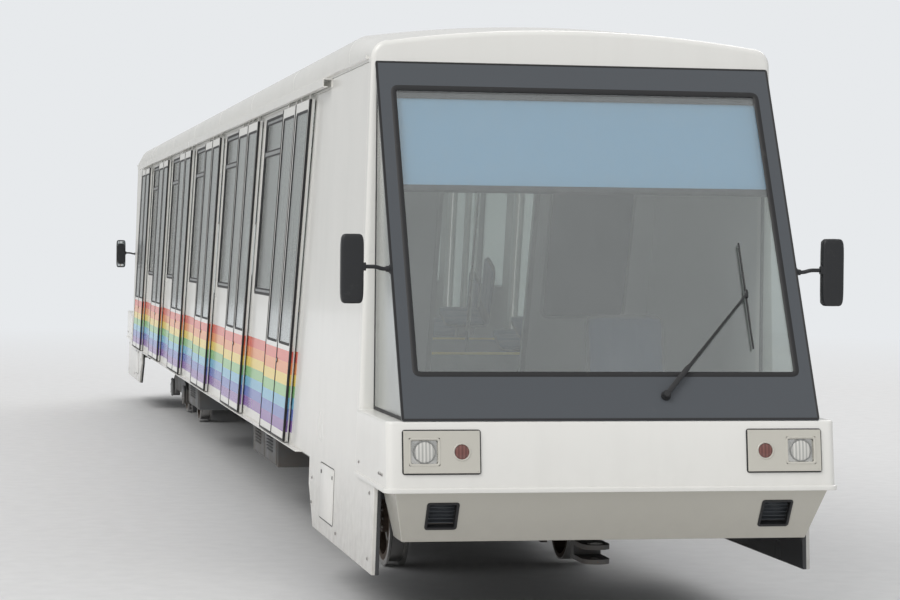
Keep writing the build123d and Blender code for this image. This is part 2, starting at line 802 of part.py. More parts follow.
# Seats at the sides of the steps, upright on the slope, and poles from each platform to the roof
level = (0, cos(radians(post_lean)), sin(radians(post_lean)))
upright = (0, -sin(radians(post_lean)), cos(radians(post_lean)))
with BuildPart() as seats:
    for name, hand in hands:
        for y, z in seat_spots:
            reach = wall_x(z + seat_back_high, wall) - seat_clear
            z_dir = tuple(hand * value for value in level)
            with BuildSketch(Plane(origin=(hand * reach, y, z), x_dir=(-hand, 0, 0), z_dir=z_dir)):
                Polygon(
                    (0, seat_high - seat_pad),
                    (seat_deep, seat_high - seat_pad),
                    (seat_deep, seat_high),
                    (seat_pad, seat_high - seat_pad / 4),
                    (seat_pad * 0.8, seat_back_high),
                    (0, seat_back_high),
                    align=None,
                )
            extrude(amount=seat_width / 2, both=True)
            with BuildSketch(Plane(origin=(hand * reach, y, z), x_dir=(-hand, 0, 0), z_dir=z_dir)):
                with Locations((seat_deep / 2, (seat_high - seat_pad) / 2)):
                    Rectangle(seat_leg, seat_high - seat_pad)
            extrude(amount=seat_leg / 2, both=True)
save(seats, "passenger_seats")
with BuildPart() as poles:
    for index in range(bays):
        y, z = platform_point(bay_start(index), door_width / 2)
        for x in (-pole_x, pole_x):
            with BuildSketch(Plane(origin=(x, y, z), x_dir=(1, 0, 0), z_dir=upright)):
                Circle(pole_radius)
            extrude(amount=roof_crown)
    with BuildSketch(Plane.XZ.offset(-downhill_tip)):
        add(inside_section(frame_high, roof_crown, roof_edge, roof_corner))
    extrude(amount=car_length, mode=Mode.INTERSECT)
save(poles, "grab_poles")
with BuildPart() as driver_seats:
    for end, way in ends:
        y = tip_of(way) - way * driver_set
        foot_z = frame_high + cab_floor_sheet
        with BuildSketch(Plane.YZ.offset(driver_x - driver_seat_width / 2)):
            Polygon(
                (y + way * seat_deep / 2, foot_z + seat_high),
                (y + way * seat_deep / 2, foot_z + seat_high - seat_pad),
                (y - way * seat_deep / 2, foot_z + seat_high - seat_pad),
                (y - way * (seat_deep / 2 + seat_pad), foot_z + seat_back_high),
                (y - way * seat_deep / 2, foot_z + seat_back_high),
                (y - way * (seat_deep / 2 - seat_pad), foot_z + seat_high),
                align=None,
            )
        extrude(amount=driver_seat_width)
        with BuildSketch(Plane.XY.offset(foot_z)):
            with Locations((driver_x, y)):
                Rectangle(seat_leg, seat_leg)
        extrude(amount=seat_high - seat_pad)
save(driver_seats, "driver_seats")

# Bogies: frame with bowl, spring stacks and axle boxes; and their axles with two wheels each
for end, way in ends:
    centre = way * bogie_y
    with BuildPart() as bogie:
        for side in (-1, 1):
            with BuildSketch(Plane.YZ.offset(side * side_beam_x - side_beam_thick / 2)):
                Polygon(
                    (centre - wheelbase / 2 - beam_tail, beam_tail_low),
                    (centre - wheelbase / 2 + beam_tail, beam_tail_low),
                    (centre - wheelbase / 2 + beam_bow, beam_foot),
                    (centre + wheelbase / 2 - beam_bow, beam_foot),
                    (centre + wheelbase / 2 - beam_tail, beam_tail_low),
                    (centre + wheelbase / 2 + beam_tail, beam_tail_low),
                    (centre + wheelbase / 2 + beam_tail, beam_tail_high),
                    (centre + wheelbase / 2 - beam_shoulder, beam_top),
                    (centre - wheelbase / 2 + beam_shoulder, beam_top),
                    (centre - wheelbase / 2 - beam_tail, beam_tail_high),
                    align=None,
                )
            extrude(amount=side_beam_thick)
            with BuildSketch(Plane.YZ.offset(side * side_beam_x - side_beam_thick / 2 - 15)):
                with Locations((centre - wheelbase / 2, axle_z), (centre + wheelbase / 2, axle_z)):
                    Circle(110)
            extrude(amount=side_beam_thick + 30)
        with BuildSketch(Plane.XY.offset(transom_low)):
            with Locations((0, centre)):
                Rectangle(2 * side_beam_x, 2 * transom_half)
        extrude(amount=transom_high - transom_low)
        with BuildSketch(Plane.XY.offset(transom_high)):
            with Locations((0, centre)):
                Circle(bowl_radius)
        extrude(amount=bowl_high - transom_high)
        with BuildSketch(Plane.XY.offset(transom_high)):
            with Locations((-side_beam_x, centre), (side_beam_x, centre)):
                Circle(spring_radius)
        extrude(amount=bowl_high - transom_high)
        with BuildSketch(Plane.XY.offset(bowl_high)):
            with Locations((0, centre)):
                Circle(pin_radius + pin_play)
        extrude(amount=transom_low - bowl_high, mode=Mode.SUBTRACT)
        for side in (-1, 1):
            with BuildSketch(Plane.YZ.offset(side * side_beam_x - side_beam_thick / 2 - 15)):
                with Locations((centre - wheelbase / 2, axle_z), (centre + wheelbase / 2, axle_z)):
                    Circle(journal_radius + journal_play)
            extrude(amount=side_beam_thick + 30, mode=Mode.SUBTRACT)
        for side in (-1, 1):
            for along in (-1, 1):
                y = centre + along * (transom_half + brake_long / 2)
                with Locations((side * wheel_x, y, (transom_low + transom_high) / 2)):
                    Box(brake_wide, brake_long, transom_high - transom_low - 20)
                for jaw in (-1, 1):
                    jaw_x = side * wheel_x + jaw * (brake_wide - jaw_thick) / 2
                    with Locations((jaw_x, y, (jaw_low + transom_low + 20) / 2)):
                        Box(jaw_thick, brake_long - 30, transom_low + 20 - jaw_low)
    save(bogie, f"{end}_bogie_frame")

    for axle_name, along in (("first", -1), ("second", 1)):
        y = centre + along * wheelbase / 2
        axle_plane = Plane(origin=(0, y, axle_z), x_dir=(1, 0, 0), z_dir=(0, 0, 1))
        inner = groove_half + flange_thick
        journal_end = side_beam_x + side_beam_thick / 2 + 15
        journal_start = side_beam_x - side_beam_thick / 2 - 15 - 5
        with BuildPart() as axle:
            with BuildSketch(axle_plane):
                with BuildLine():
                    Polyline(
                        (-journal_end, 0),
                        (-journal_end, journal_radius),
                        (-journal_start, journal_radius),
                        (-journal_start, axle_radius),
                        (-wheel_x - inner - 8, axle_radius),
                        (-wheel_x - inner - 8, hub_radius),
                        (-wheel_x - web_half, hub_radius),
                        (-wheel_x - web_half, tread_radius - 50),
                        (-wheel_x - inner, tread_radius - 50),
                        (-wheel_x - inner, flange_radius),
                        (-wheel_x - groove_half - 10, flange_radius),
                        (-wheel_x - groove_half, tread_radius),
                        (-wheel_x + groove_half, tread_radius),
                        (-wheel_x + groove_half + 10, flange_radius),
                        (-wheel_x + inner, flange_radius),
                        (-wheel_x + inner, tread_radius - 50),
                        (-wheel_x + web_half, tread_radius - 50),
                        (-wheel_x + web_half, hub_radius),
                        (-wheel_x + inner + 8, hub_radius),
                        (-wheel_x + inner + 8, axle_radius),
                        (wheel_x - roller_half - 8, axle_radius),
                        (wheel_x - roller_half - 8, hub_radius),
                        (wheel_x - web_half, hub_radius),
                        (wheel_x - web_half, tread_radius - 40),
                        (wheel_x - roller_half, tread_radius - 40),
                        (wheel_x - roller_half, tread_radius),
                        (wheel_x + roller_half, tread_radius),
                        (wheel_x + roller_half, tread_radius - 40),
                        (wheel_x + web_half, tread_radius - 40),
                        (wheel_x + web_half, hub_radius),
                        (wheel_x + roller_half + 8, hub_radius),
                        (wheel_x + roller_half + 8, axle_radius),
                        (journal_start, axle_radius),
                        (journal_start, journal_radius),
                        (journal_end, journal_radius),
                        (journal_end, 0),
                        close=True,
                    )
                make_face()
            revolve(axis=Axis((0, y, axle_z), (1, 0, 0)))
        save(axle, f"{end}_{axle_name}_axle")

# Rope anchors: a block under each headstock with two plates that hold an upright pin
anchor_radius = 26
anchor_low = 400
anchor_wide = 160
anchor_reach = 190     # from the block's face to the pin
anchor_plate = 28
anchor_gap = 54        # between the plates, where the rope's eye goes
with BuildPart() as anchors:
    for end, way in ends:
        block_y = way * (car_length / 2 - headstock_set - headstock_deep / 2)
        face_y = block_y + way * headstock_deep / 2
        pin_y = face_y + way * anchor_reach
        with BuildSketch(Plane.XY.offset(anchor_low)):
            with Locations((0, block_y)):
                Rectangle(anchor_wide, headstock_deep)
        extrude(amount=chin_low - anchor_low)
        for low in (anchor_low, anchor_low + anchor_plate + anchor_gap):
            with BuildSketch(Plane.XY.offset(low)):
                with Locations((0, (face_y + pin_y) / 2)):
                    Rectangle(anchor_wide, anchor_reach)
                with Locations((0, pin_y)):
                    Circle(anchor_wide / 2)
                with Locations((0, pin_y)):
                    Circle(anchor_radius, mode=Mode.SUBTRACT)
            extrude(amount=anchor_plate)
save(anchors, "rope_anchors")

# Boxes slung below the floor: side, place and length as shares of the distance to a bogie
boxes = ((-1, -0.60, 0.24), (-1, 0.36, 0.18), (1, -0.40, 0.28), (1, 0.43, 0.21))
with BuildPart() as equipment:
    for side, place, length in boxes:
        with Locations((side * box_x, place * bogie_y, (box_low + cross_low) / 2)):
            Box(box_wide, length * bogie_y, cross_low - box_low)
save(equipment, "equipment_boxes")
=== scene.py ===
"""Looks of the funicular car: finishes for its frame's nodes and the detail built round them.

Metres. X is across the track, Y along it and downhill, Z up from the lowest points of the wheel flanges.
"""
from math import cos, pi, radians, sin, sqrt, tan

import bmesh
import bpy
import numpy as np
from mathutils import Matrix, Vector


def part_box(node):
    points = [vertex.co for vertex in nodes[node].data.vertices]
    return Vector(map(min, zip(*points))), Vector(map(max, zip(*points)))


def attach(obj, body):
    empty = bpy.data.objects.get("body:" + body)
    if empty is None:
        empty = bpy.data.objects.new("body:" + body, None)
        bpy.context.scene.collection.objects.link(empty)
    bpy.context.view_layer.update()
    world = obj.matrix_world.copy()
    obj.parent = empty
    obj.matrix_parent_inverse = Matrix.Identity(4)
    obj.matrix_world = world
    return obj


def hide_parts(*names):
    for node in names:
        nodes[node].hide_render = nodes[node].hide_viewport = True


bl_info = {
    "name": "Funicular Car",
    "version": (1, 0, 0),
    "blender": (4, 2, 0),
    "location": "3D View > Sidebar > Funicular",
    "description": "Dresses a funicular car's frame with its finishes, trim, seats and running gear detail",
    "category": "Object",
}

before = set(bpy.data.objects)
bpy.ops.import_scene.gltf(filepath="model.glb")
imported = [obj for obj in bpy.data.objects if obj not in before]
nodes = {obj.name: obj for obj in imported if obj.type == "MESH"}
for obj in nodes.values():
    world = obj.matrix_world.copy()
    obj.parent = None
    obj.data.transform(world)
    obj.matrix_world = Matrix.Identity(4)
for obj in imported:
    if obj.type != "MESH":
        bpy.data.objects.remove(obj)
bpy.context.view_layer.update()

# Places on the car, as its frame has them
ENDS = (("uphill", -1), ("downhill", 1))
HANDS = (("left", -1), ("right", 1))
SIDES = (-1, 1)
ACROSS, ALONG, UP = (1, 0, 0), (0, 1, 0), (0, 0, 1)
TIP = 11.75
PORTAL = 10.65
BROW_RUN = 0.9
TUMBLE = radians(1.5)
WALL_FOOT = 1.285
WALL_LEAN = tan(TUMBLE)
SLOPE = radians(20)
POST_LEAN = tan(SLOPE)
LEVEL = np.array((0, cos(SLOPE), sin(SLOPE)))  # along a tread, downhill
PLUMB = np.array((0, -sin(SLOPE), cos(SLOPE)))  # up a post
BELT = 1.44
EAVES = 3.25
BAYS = 6
BAY = 3.15
FIRST_DOOR = -7.65
DOOR = 1.48
LEAF = 0.737
SECOND_LEAF = 0.743
LEAF_FACE = 0.046
WINDOW_START = 1.69
WINDOW = 1.25
SCREEN_FOOT = 1.23
SCREEN_UP = 2.2766
SCREEN_SIN = 1.05 / SCREEN_UP
SCREEN_COS = 2.02 / SCREEN_UP
NOSE_FOOT, NOSE_TALL, NOSE_LEAN = 0.87, 0.36, 0.05
NOSE_SIN = NOSE_LEAN / sqrt(NOSE_LEAN**2 + NOSE_TALL**2)
NOSE_COS = NOSE_TALL / sqrt(NOSE_LEAN**2 + NOSE_TALL**2)
LAMP = 1.065
CHIN_TOP, CHIN_TALL, CHIN_BACK = 0.845, 0.285, 0.18
PORT = 0.71
WHEEL = 0.635
AXLE = 0.328
BOGIE = 7.2
WHEELBASE = 1.8


# Sizes and colours that a user would change

def colour_setting(name, description, default):
    return bpy.props.FloatVectorProperty(
        name=name, description=description, default=default, subtype="COLOR", size=3, min=0, max=1
    )


def length_setting(name, description, default):
    return bpy.props.FloatProperty(name=name, description=description, default=default, unit="LENGTH", min=0)


class FunicularColours(bpy.types.PropertyGroup):
    """Colours of the car, as linear values."""

    body: colour_setting("Body", "Gloss paint of the sides, roof, cabs and noses", (0.83, 0.82, 0.785))
    # Painted shade: the chins are body-coloured panels, given this darker grey for the shade under the noses.
    chin: colour_setting("Chins", "Paint of the panels that lean back under the noses", (0.54, 0.52, 0.46))
    sign: colour_setting("Sign panels", "Blank panels behind the windscreens' heads", (0.23, 0.44, 0.66))
    band_1: colour_setting("Band 1", "Top stripe of the painted band", (0.78, 0.13, 0.08))
    band_2: colour_setting("Band 2", "Second stripe from the top", (0.88, 0.30, 0.08))
    band_3: colour_setting("Band 3", "Third stripe from the top", (0.90, 0.66, 0.10))
    band_4: colour_setting("Band 4", "Middle stripe", (0.25, 0.55, 0.20))
    band_5: colour_setting("Band 5", "Third stripe from the foot", (0.16, 0.48, 0.70))
    band_6: colour_setting("Band 6", "Second stripe from the foot", (0.10, 0.17, 0.55))
    band_7: colour_setting("Band 7", "Lowest stripe", (0.24, 0.10, 0.42))
    lining: colour_setting("Linings", "Laminate inside the cabin and the cabs", (0.74, 0.75, 0.73))
    seat: colour_setting("Seat cloth", "Woven cloth of the seats", (0.045, 0.085, 0.17))


class FunicularSizes(bpy.types.PropertyGroup):
    """Sizes of the painted band, the seals and the softened edges."""

    band_low: length_setting("Foot of the band", "Height where the lowest stripe starts", 0.865)
    band_high: length_setting("Head of the band", "Height where the top stripe ends", 1.44)
    leaf_seal: length_setting("Leaf seals", "Width of the rubber strips on the leaves' upright edges", 0.018)
    panel_edge: length_setting("Panel edges", "Rounding of the body panels' edges", 0.006)
    nose_corner: length_setting("Nose corners", "Radius of the noses' upright corners", 0.045)


def colours():
    return bpy.context.scene.funicular_colours


def sizes():
    return bpy.context.scene.funicular_sizes


# Node trees of the finishes

def put(tree, kind, sockets=(), **settings):
    """A node of that kind. Sockets are pairs of an input's name or number and its value or its source."""
    made = tree.nodes.new("ShaderNode" + kind)
    for key, value in settings.items():
        setattr(made, key, value)
    for key, value in sockets:
        if isinstance(value, bpy.types.NodeSocket):
            tree.links.new(value, made.inputs[key])
        else:
            made.inputs[key].default_value = value
    return made


def finish(name, roughness=0.5, metallic=0.0, specular=0.5, coat=0.0):
    """A new material: its tree, its shader and the coordinates of the object that it is on."""
    material = bpy.data.materials.new(name)
    material.use_nodes = True
    tree = material.node_tree
    tree.nodes.clear()
    shader = put(tree, "BsdfPrincipled", (("Roughness", roughness), ("Metallic", metallic)))
    shader.inputs["Specular IOR Level"].default_value = specular
    shader.inputs["Coat Weight"].default_value = coat
    shader.inputs["Coat Roughness"].default_value = 0.06
    end = put(tree, "OutputMaterial")
    tree.links.new(shader.outputs[0], end.inputs["Surface"])
    place = put(tree, "TexCoord").outputs["Object"]
    return material, tree, shader, place


def feed(shader, socket, value):
    """Gives one of a shader's sockets the output that it takes."""
    shader.id_data.links.new(value, shader.inputs[socket])


def stretched(tree, place, scale):
    return put(tree, "Mapping", (("Vector", place), ("Scale", scale))).outputs[0]


def noise(tree, place, scale, detail=3.0, roughness=0.55):
    sockets = (("Vector", place), ("Scale", scale), ("Detail", detail), ("Roughness", roughness))
    return put(tree, "TexNoise", sockets).outputs["Fac"]


def between(tree, value, low, high, to_low=0.0, to_high=1.0):
    """The value taken from one range to another, and held at its ends."""
    sockets = ((0, value), (1, low), (2, high), (3, to_low), (4, to_high))
    return put(tree, "MapRange", sockets).outputs[0]


def maths(tree, operation, first, second=0.0):
    return put(tree, "Math", ((0, first), (1, second)), operation=operation).outputs[0]


def blend(tree, share, first, second, kind="MIX"):
    """Colours mixed by a share, which may be a number or an output."""
    sockets = ((0, share), (6, first), (7, second))
    return put(tree, "Mix", sockets, data_type="RGBA", blend_type=kind).outputs[2]


def rgba(colour, lighter=1.0):
    return tuple(min(1.0, channel * lighter) for channel in colour) + (1.0,)


def bump(tree, shader, height, distance, strength=1.0):
    """Raises the surface by a height of 0 to 1 times a distance in metres."""
    made = put(tree, "Bump", (("Height", height), ("Distance", distance), ("Strength", strength)))
    feed(shader, "Normal", made.outputs[0])


def axis_of(tree, place, axis):
    return put(tree, "SeparateXYZ", ((0, place),)).outputs[axis]


# Road dirt on the rain streaks. Towards the foot the same colour is also painted shade.
DIRT_AND_SHADE = (0.33, 0.31, 0.28, 1.0)


def weathered(tree, place, colour, low=0.35, high=1.1, share=0.30):
    """A paint colour that varies a little, with faint rain streaks, and darker towards its foot: road dirt
    together with painted shade.
    """
    cloudy = between(tree, noise(tree, place, 0.8, 5), 0.1, 0.9, 0.0, 0.06)
    varied = blend(tree, cloudy, colour, rgba((0.60, 0.59, 0.55)))
    streaks = noise(tree, stretched(tree, place, (7.0, 7.0, 0.30)), 1.3, 3, 0.5)
    run = between(tree, streaks, 0.50, 0.85, 0.0, 0.045)
    streaked = blend(tree, run, varied, DIRT_AND_SHADE)
    # Darker towards the foot: road dirt and painted shade, strongest on the cab sides' skirts.
    foot = between(tree, axis_of(tree, place, "Z"), low, high, share, 0.0)
    spots = between(tree, noise(tree, place, 11.0, 6, 0.6), 0.30, 0.75, 0.45, 1.0)
    return blend(tree, maths(tree, "MULTIPLY", foot, spots), streaked, DIRT_AND_SHADE)


def lined(tree, place, outside, depth, under=None):
    """The outside colour, or the lining's where the distance from the middle plus the wall's lean times the
    height is less than the wall's foot by more than a depth. Below the floor it may be a near-black that is
    painted shade inside the skirts."""
    across = maths(tree, "ABSOLUTE", axis_of(tree, place, "X"))
    height = axis_of(tree, place, "Z")
    straightened = maths(tree, "ADD", across, maths(tree, "MULTIPLY", height, WALL_LEAN))
    inside = maths(tree, "LESS_THAN", straightened, WALL_FOOT - depth)
    lining = rgba(colours().lining)
    # Painted shade: below the floor the inner faces are near-black for the shade inside the skirts.
    if under:
        lining = blend(tree, maths(tree, "LESS_THAN", height, 0.845), lining, rgba(under))
    return blend(tree, inside, outside, lining)


def paint(name, colour, roughness=0.24, low=0.35, high=1.1, share=0.30, depth=None, under=None):
    """Gloss coach paint that waves a little, with streaks, and darker towards its foot with road dirt and
    painted shade. A wall's inside is its lining.
    """
    material, tree, shader, place = finish(name, roughness, coat=0.2)
    tone = weathered(tree, place, rgba(colour), low=low, high=high, share=share)
    if depth is not None:
        tone = lined(tree, place, tone, depth, under)
    feed(shader, "Base Color", tone)
    dull = between(tree, noise(tree, place, 1.4, 2), 0.1, 0.9, roughness - 0.04, roughness + 0.06)
    feed(shader, "Roughness", dull)
    bump(tree, shader, noise(tree, place, 1.6, 1), 0.003, 0.5)
    return material


def band_paint(name, depth):
    """Coach paint with the seven stripes of the painted band, one colour over another by height."""
    material, tree, shader, place = finish(name, 0.26, coat=0.2)
    height = axis_of(tree, place, "Z")
    low, high = sizes().band_low, sizes().band_high
    sockets = ((0, height), (1, low), (2, high), (3, 0.0), (4, 1.0))
    along = put(tree, "MapRange", sockets, clamp=False).outputs[0]
    ramp = put(tree, "ValToRGB", ((0, along),))
    ramp.color_ramp.interpolation = "CONSTANT"
    stripes = [tuple(getattr(colours(), f"band_{number}")) for number in range(7, 0, -1)]
    points = ramp.color_ramp.elements
    points[0].position, points[0].color = 0.0, rgba(stripes[0])
    points[1].position, points[1].color = 1 / 7, rgba(stripes[1])
    for number in range(2, 7):
        points.new(number / 7).color = rgba(stripes[number])
    over, under = maths(tree, "GREATER_THAN", along, 0.0), maths(tree, "LESS_THAN", along, 1.0)
    inside = maths(tree, "MULTIPLY", over, under)
    striped = blend(tree, inside, rgba(colours().body), ramp.outputs[0])
    tone = lined(tree, place, weathered(tree, place, striped, share=0.22), depth)
    feed(shader, "Base Color", tone)
    bump(tree, shader, noise(tree, place, 1.6, 1), 0.003, 0.5)
    return material


def glazing(name, tint, film):
    """Toughened glass: a tinted pane that lets light through, with a mirror that grows as the fifth power of
    one minus the cosine of the angle, and a film of dust."""
    material, tree, shader, place = finish(name, 0.04, metallic=1.0)
    grazing = put(tree, "LayerWeight", (("Blend", 0.5),)).outputs["Facing"]
    mirror = between(tree, maths(tree, "POWER", grazing, 5.0), 0.0, 1.0, 0.04, 0.92)
    dust = between(tree, noise(tree, place, 1.2, 2), 0.10, 0.90, 0.8 * film, film)
    rain = noise(tree, stretched(tree, place, (9.0, 9.0, 0.4)), 1.5, 3)
    streaks = between(tree, rain, 0.50, 0.80, 0.0, film * 0.12)
    filmed = maths(tree, "ADD", dust, streaks)
    shown = put(tree, "Math", ((0, mirror), (1, filmed)), operation="ADD", use_clamp=True).outputs[0]
    feed(shader, "Roughness", between(tree, filmed, 0.0, 2 * film, 0.03, 0.30))
    shader.inputs["Base Color"].default_value = rgba((0.88, 0.90, 0.89))
    clear = put(tree, "BsdfTransparent", (("Color", rgba(tint)),))
    mixed = put(tree, "MixShader", ((0, shown), (1, clear.outputs[0]), (2, shader.outputs[0])))
    end = next(item for item in tree.nodes if item.type == "OUTPUT_MATERIAL")
    tree.links.new(mixed.outputs[0], end.inputs["Surface"])
    bump(tree, shader, noise(tree, place, 1.1, 1), 0.002, 0.25)
    return material


def rubber(name, colour, roughness, scuffs=0.25):
    """Black rubber or moulded plastic with a fine grain and pale scuffs."""
    material, tree, shader, place = finish(name, roughness)
    scuff = between(tree, noise(tree, place, 16.0, 6, 0.7), 0.60, 0.80, 0.0, scuffs)
    feed(shader, "Base Color", blend(tree, scuff, rgba(colour), rgba((0.13, 0.125, 0.12))))
    feed(shader, "Roughness", between(tree, scuff, 0.0, 0.3, roughness, roughness + 0.15))
    bump(tree, shader, noise(tree, place, 420.0, 2), 0.0006, 0.4)
    return material


def bare_metal(name, colour, roughness, grain=(1.0, 60.0, 60.0)):
    """Drawn or brushed metal: fine lines along one axis, with dull patches."""
    material, tree, shader, place = finish(name, roughness, metallic=1.0)
    lines = noise(tree, stretched(tree, place, grain), 14.0, 3)
    tone = between(tree, lines, 0.3, 0.7)
    feed(shader, "Base Color", blend(tree, tone, rgba(colour, 0.82), rgba(colour)))
    patches = between(tree, noise(tree, place, 4.0, 5), 0.35, 0.7, roughness - 0.08, roughness + 0.15)
    feed(shader, "Roughness", patches)
    bump(tree, shader, lines, 0.0003, 0.3)
    return material


def chassis_paint(name, colour):
    """Dark grey chassis paint with brake dust, dried splashes and chipped rust."""
    material, tree, shader, place = finish(name, 0.6)
    dust = between(tree, noise(tree, place, 3.0, 6, 0.65), 0.42, 0.70, 0.0, 0.65)
    dusted = blend(tree, dust, rgba(colour), rgba((0.16, 0.135, 0.11)))
    chips = between(tree, noise(tree, place, 38.0, 5, 0.7), 0.66, 0.72)
    feed(shader, "Base Color", blend(tree, chips, dusted, rgba((0.16, 0.055, 0.025))))
    feed(shader, "Roughness", between(tree, dust, 0.0, 0.65, 0.48, 0.86))
    bump(tree, shader, noise(tree, place, 60.0, 4), 0.001, 0.5)
    return material


def wheel_steel(name, y, z):
    """Turned steel: bright where the wheel runs on the rail, brown and oily towards the hub."""
    material, tree, shader, place = finish(name, 0.4, metallic=0.9)
    sockets = (("Vector", place), ("Location", (0.0, -y, -z)), ("Scale", (0.0, 1.0, 1.0)))
    centred = put(tree, "Mapping", sockets)
    radius = put(tree, "VectorMath", ((0, centred.outputs[0]),), operation="LENGTH").outputs["Value"]
    worn = between(tree, radius, 0.285, 0.298)
    mottled = between(tree, noise(tree, place, 22.0, 6, 0.65), 0.35, 0.7)
    dull = blend(tree, mottled, rgba((0.075, 0.052, 0.038)), rgba((0.15, 0.11, 0.085)))
    feed(shader, "Base Color", blend(tree, worn, dull, rgba((0.52, 0.51, 0.50))))
    feed(shader, "Roughness", between(tree, worn, 0.0, 1.0, 0.72, 0.24))
    feed(shader, "Metallic", between(tree, worn, 0.0, 1.0, 0.35, 1.0))
    turned_lines = put(tree, "TexWave", (("Vector", radius), ("Scale", 160.0)))
    bump(tree, shader, turned_lines.outputs["Fac"], 0.0004, 0.4)
    return material


def floor_rubber(name):
    """Studded grey floor rubber, scuffed along the middle."""
    material, tree, shader, place = finish(name, 0.66)
    studs = put(tree, "TexVoronoi", (("Vector", place), ("Scale", 34.0), ("Randomness", 0.0)), feature="F1")
    stud = between(tree, studs.outputs["Distance"], 0.28, 0.36, 1.0, 0.0)
    worn = between(tree, noise(tree, place, 3.5, 5), 0.35, 0.7)
    tone = blend(tree, worn, rgba((0.075, 0.08, 0.085)), rgba((0.15, 0.15, 0.145)))
    feed(shader, "Base Color", tone)
    bump(tree, shader, stud, 0.0015, 0.8)
    return material


def laminate(name, colour, roughness=0.45):
    """Wall and desk laminate with a fine leather grain."""
    material, tree, shader, place = finish(name, roughness)
    varied = between(tree, noise(tree, place, 2.0, 4), 0.3, 0.7, 0.0, 0.35)
    feed(shader, "Base Color", blend(tree, varied, rgba(colour), rgba(colour, 0.82)))
    grain = put(tree, "TexVoronoi", (("Vector", place), ("Scale", 420.0)), feature="F1").outputs["Distance"]
    bump(tree, shader, grain, 0.0004, 0.3)
    return material


def lens(name, colour, glow, ribs=95.0):
    """A moulded lens with upright ribs, whose paler stripes are a painted reflection of the bright reflector
    behind them.
    """
    material, tree, shader, place = finish(name, 0.12, coat=0.4)
    wave = put(tree, "TexWave", (("Vector", place), ("Scale", ribs / 6)), bands_direction="X").outputs["Fac"]
    # Painted reflection: the ribs alternate between the lens colour and the reflector's shine.
    feed(shader, "Base Color", blend(tree, wave, rgba(colour), rgba(glow)))
    bump(tree, shader, wave, 0.001, 0.5)
    return material


def seat_weave(name, colour):
    """Woven seat cloth: threads crossing at right angles along the piece's UV map, with lighter flecks."""
    material, tree, shader, place = finish(name, 0.9, specular=0.25)
    shader.inputs["Sheen Weight"].default_value = 0.35
    flat = put(tree, "UVMap", uv_map="cloth").outputs[0]
    warp = put(tree, "TexWave", (("Vector", flat), ("Scale", 190.0)), bands_direction="X").outputs["Fac"]
    weft = put(tree, "TexWave", (("Vector", flat), ("Scale", 190.0)), bands_direction="Y").outputs["Fac"]
    threads = maths(tree, "MULTIPLY", warp, weft)
    fleck = between(tree, noise(tree, place, 260.0, 2), 0.60, 0.66, 0.0, 0.55)
    worn = between(tree, noise(tree, place, 4.0, 5), 0.35, 0.75, 0.0, 0.25)
    woven = blend(tree, threads, rgba(colour, 0.72), rgba(colour, 1.25))
    flecked = blend(tree, fleck, woven, rgba((0.20, 0.26, 0.34)))
    feed(shader, "Base Color", blend(tree, worn, flecked, rgba((0.11, 0.13, 0.17))))
    bump(tree, shader, threads, 0.0009, 0.7)
    return material


def mirror_face(name):
    """Silvered glass with a faint film."""
    material, tree, shader, place = finish(name, 0.04, metallic=1.0)
    dull = between(tree, noise(tree, place, 20.0, 5), 0.4, 0.8, 0.03, 0.18)
    feed(shader, "Roughness", dull)
    cloudy = between(tree, noise(tree, place, 9.0, 3), 0.3, 0.7)
    tone = blend(tree, cloudy, rgba((0.66, 0.70, 0.72)), rgba((0.74, 0.77, 0.78)))
    feed(shader, "Base Color", tone)
    return material


def display(name):
    """A dark display behind glass, with an even grid of fine lines."""
    material, tree, shader, place = finish(name, 0.14, coat=0.5)
    lines = put(tree, "TexWave", (("Vector", place), ("Scale", 60.0)), bands_direction="Z").outputs["Fac"]
    tone = blend(tree, lines, rgba((0.012, 0.018, 0.022)), rgba((0.03, 0.05, 0.06)))
    feed(shader, "Base Color", tone)
    return material


# Every finish by its name: the record's material slot that it stands for, its maker and the maker's settings

INSIDE_WALL = 0.022
INSIDE_LEAF = -0.020
# A near-black for the cab sides' inner faces below the floor: painted shade inside the skirts.
SKIRT_INSIDE_SHADE = (0.035, 0.036, 0.038)

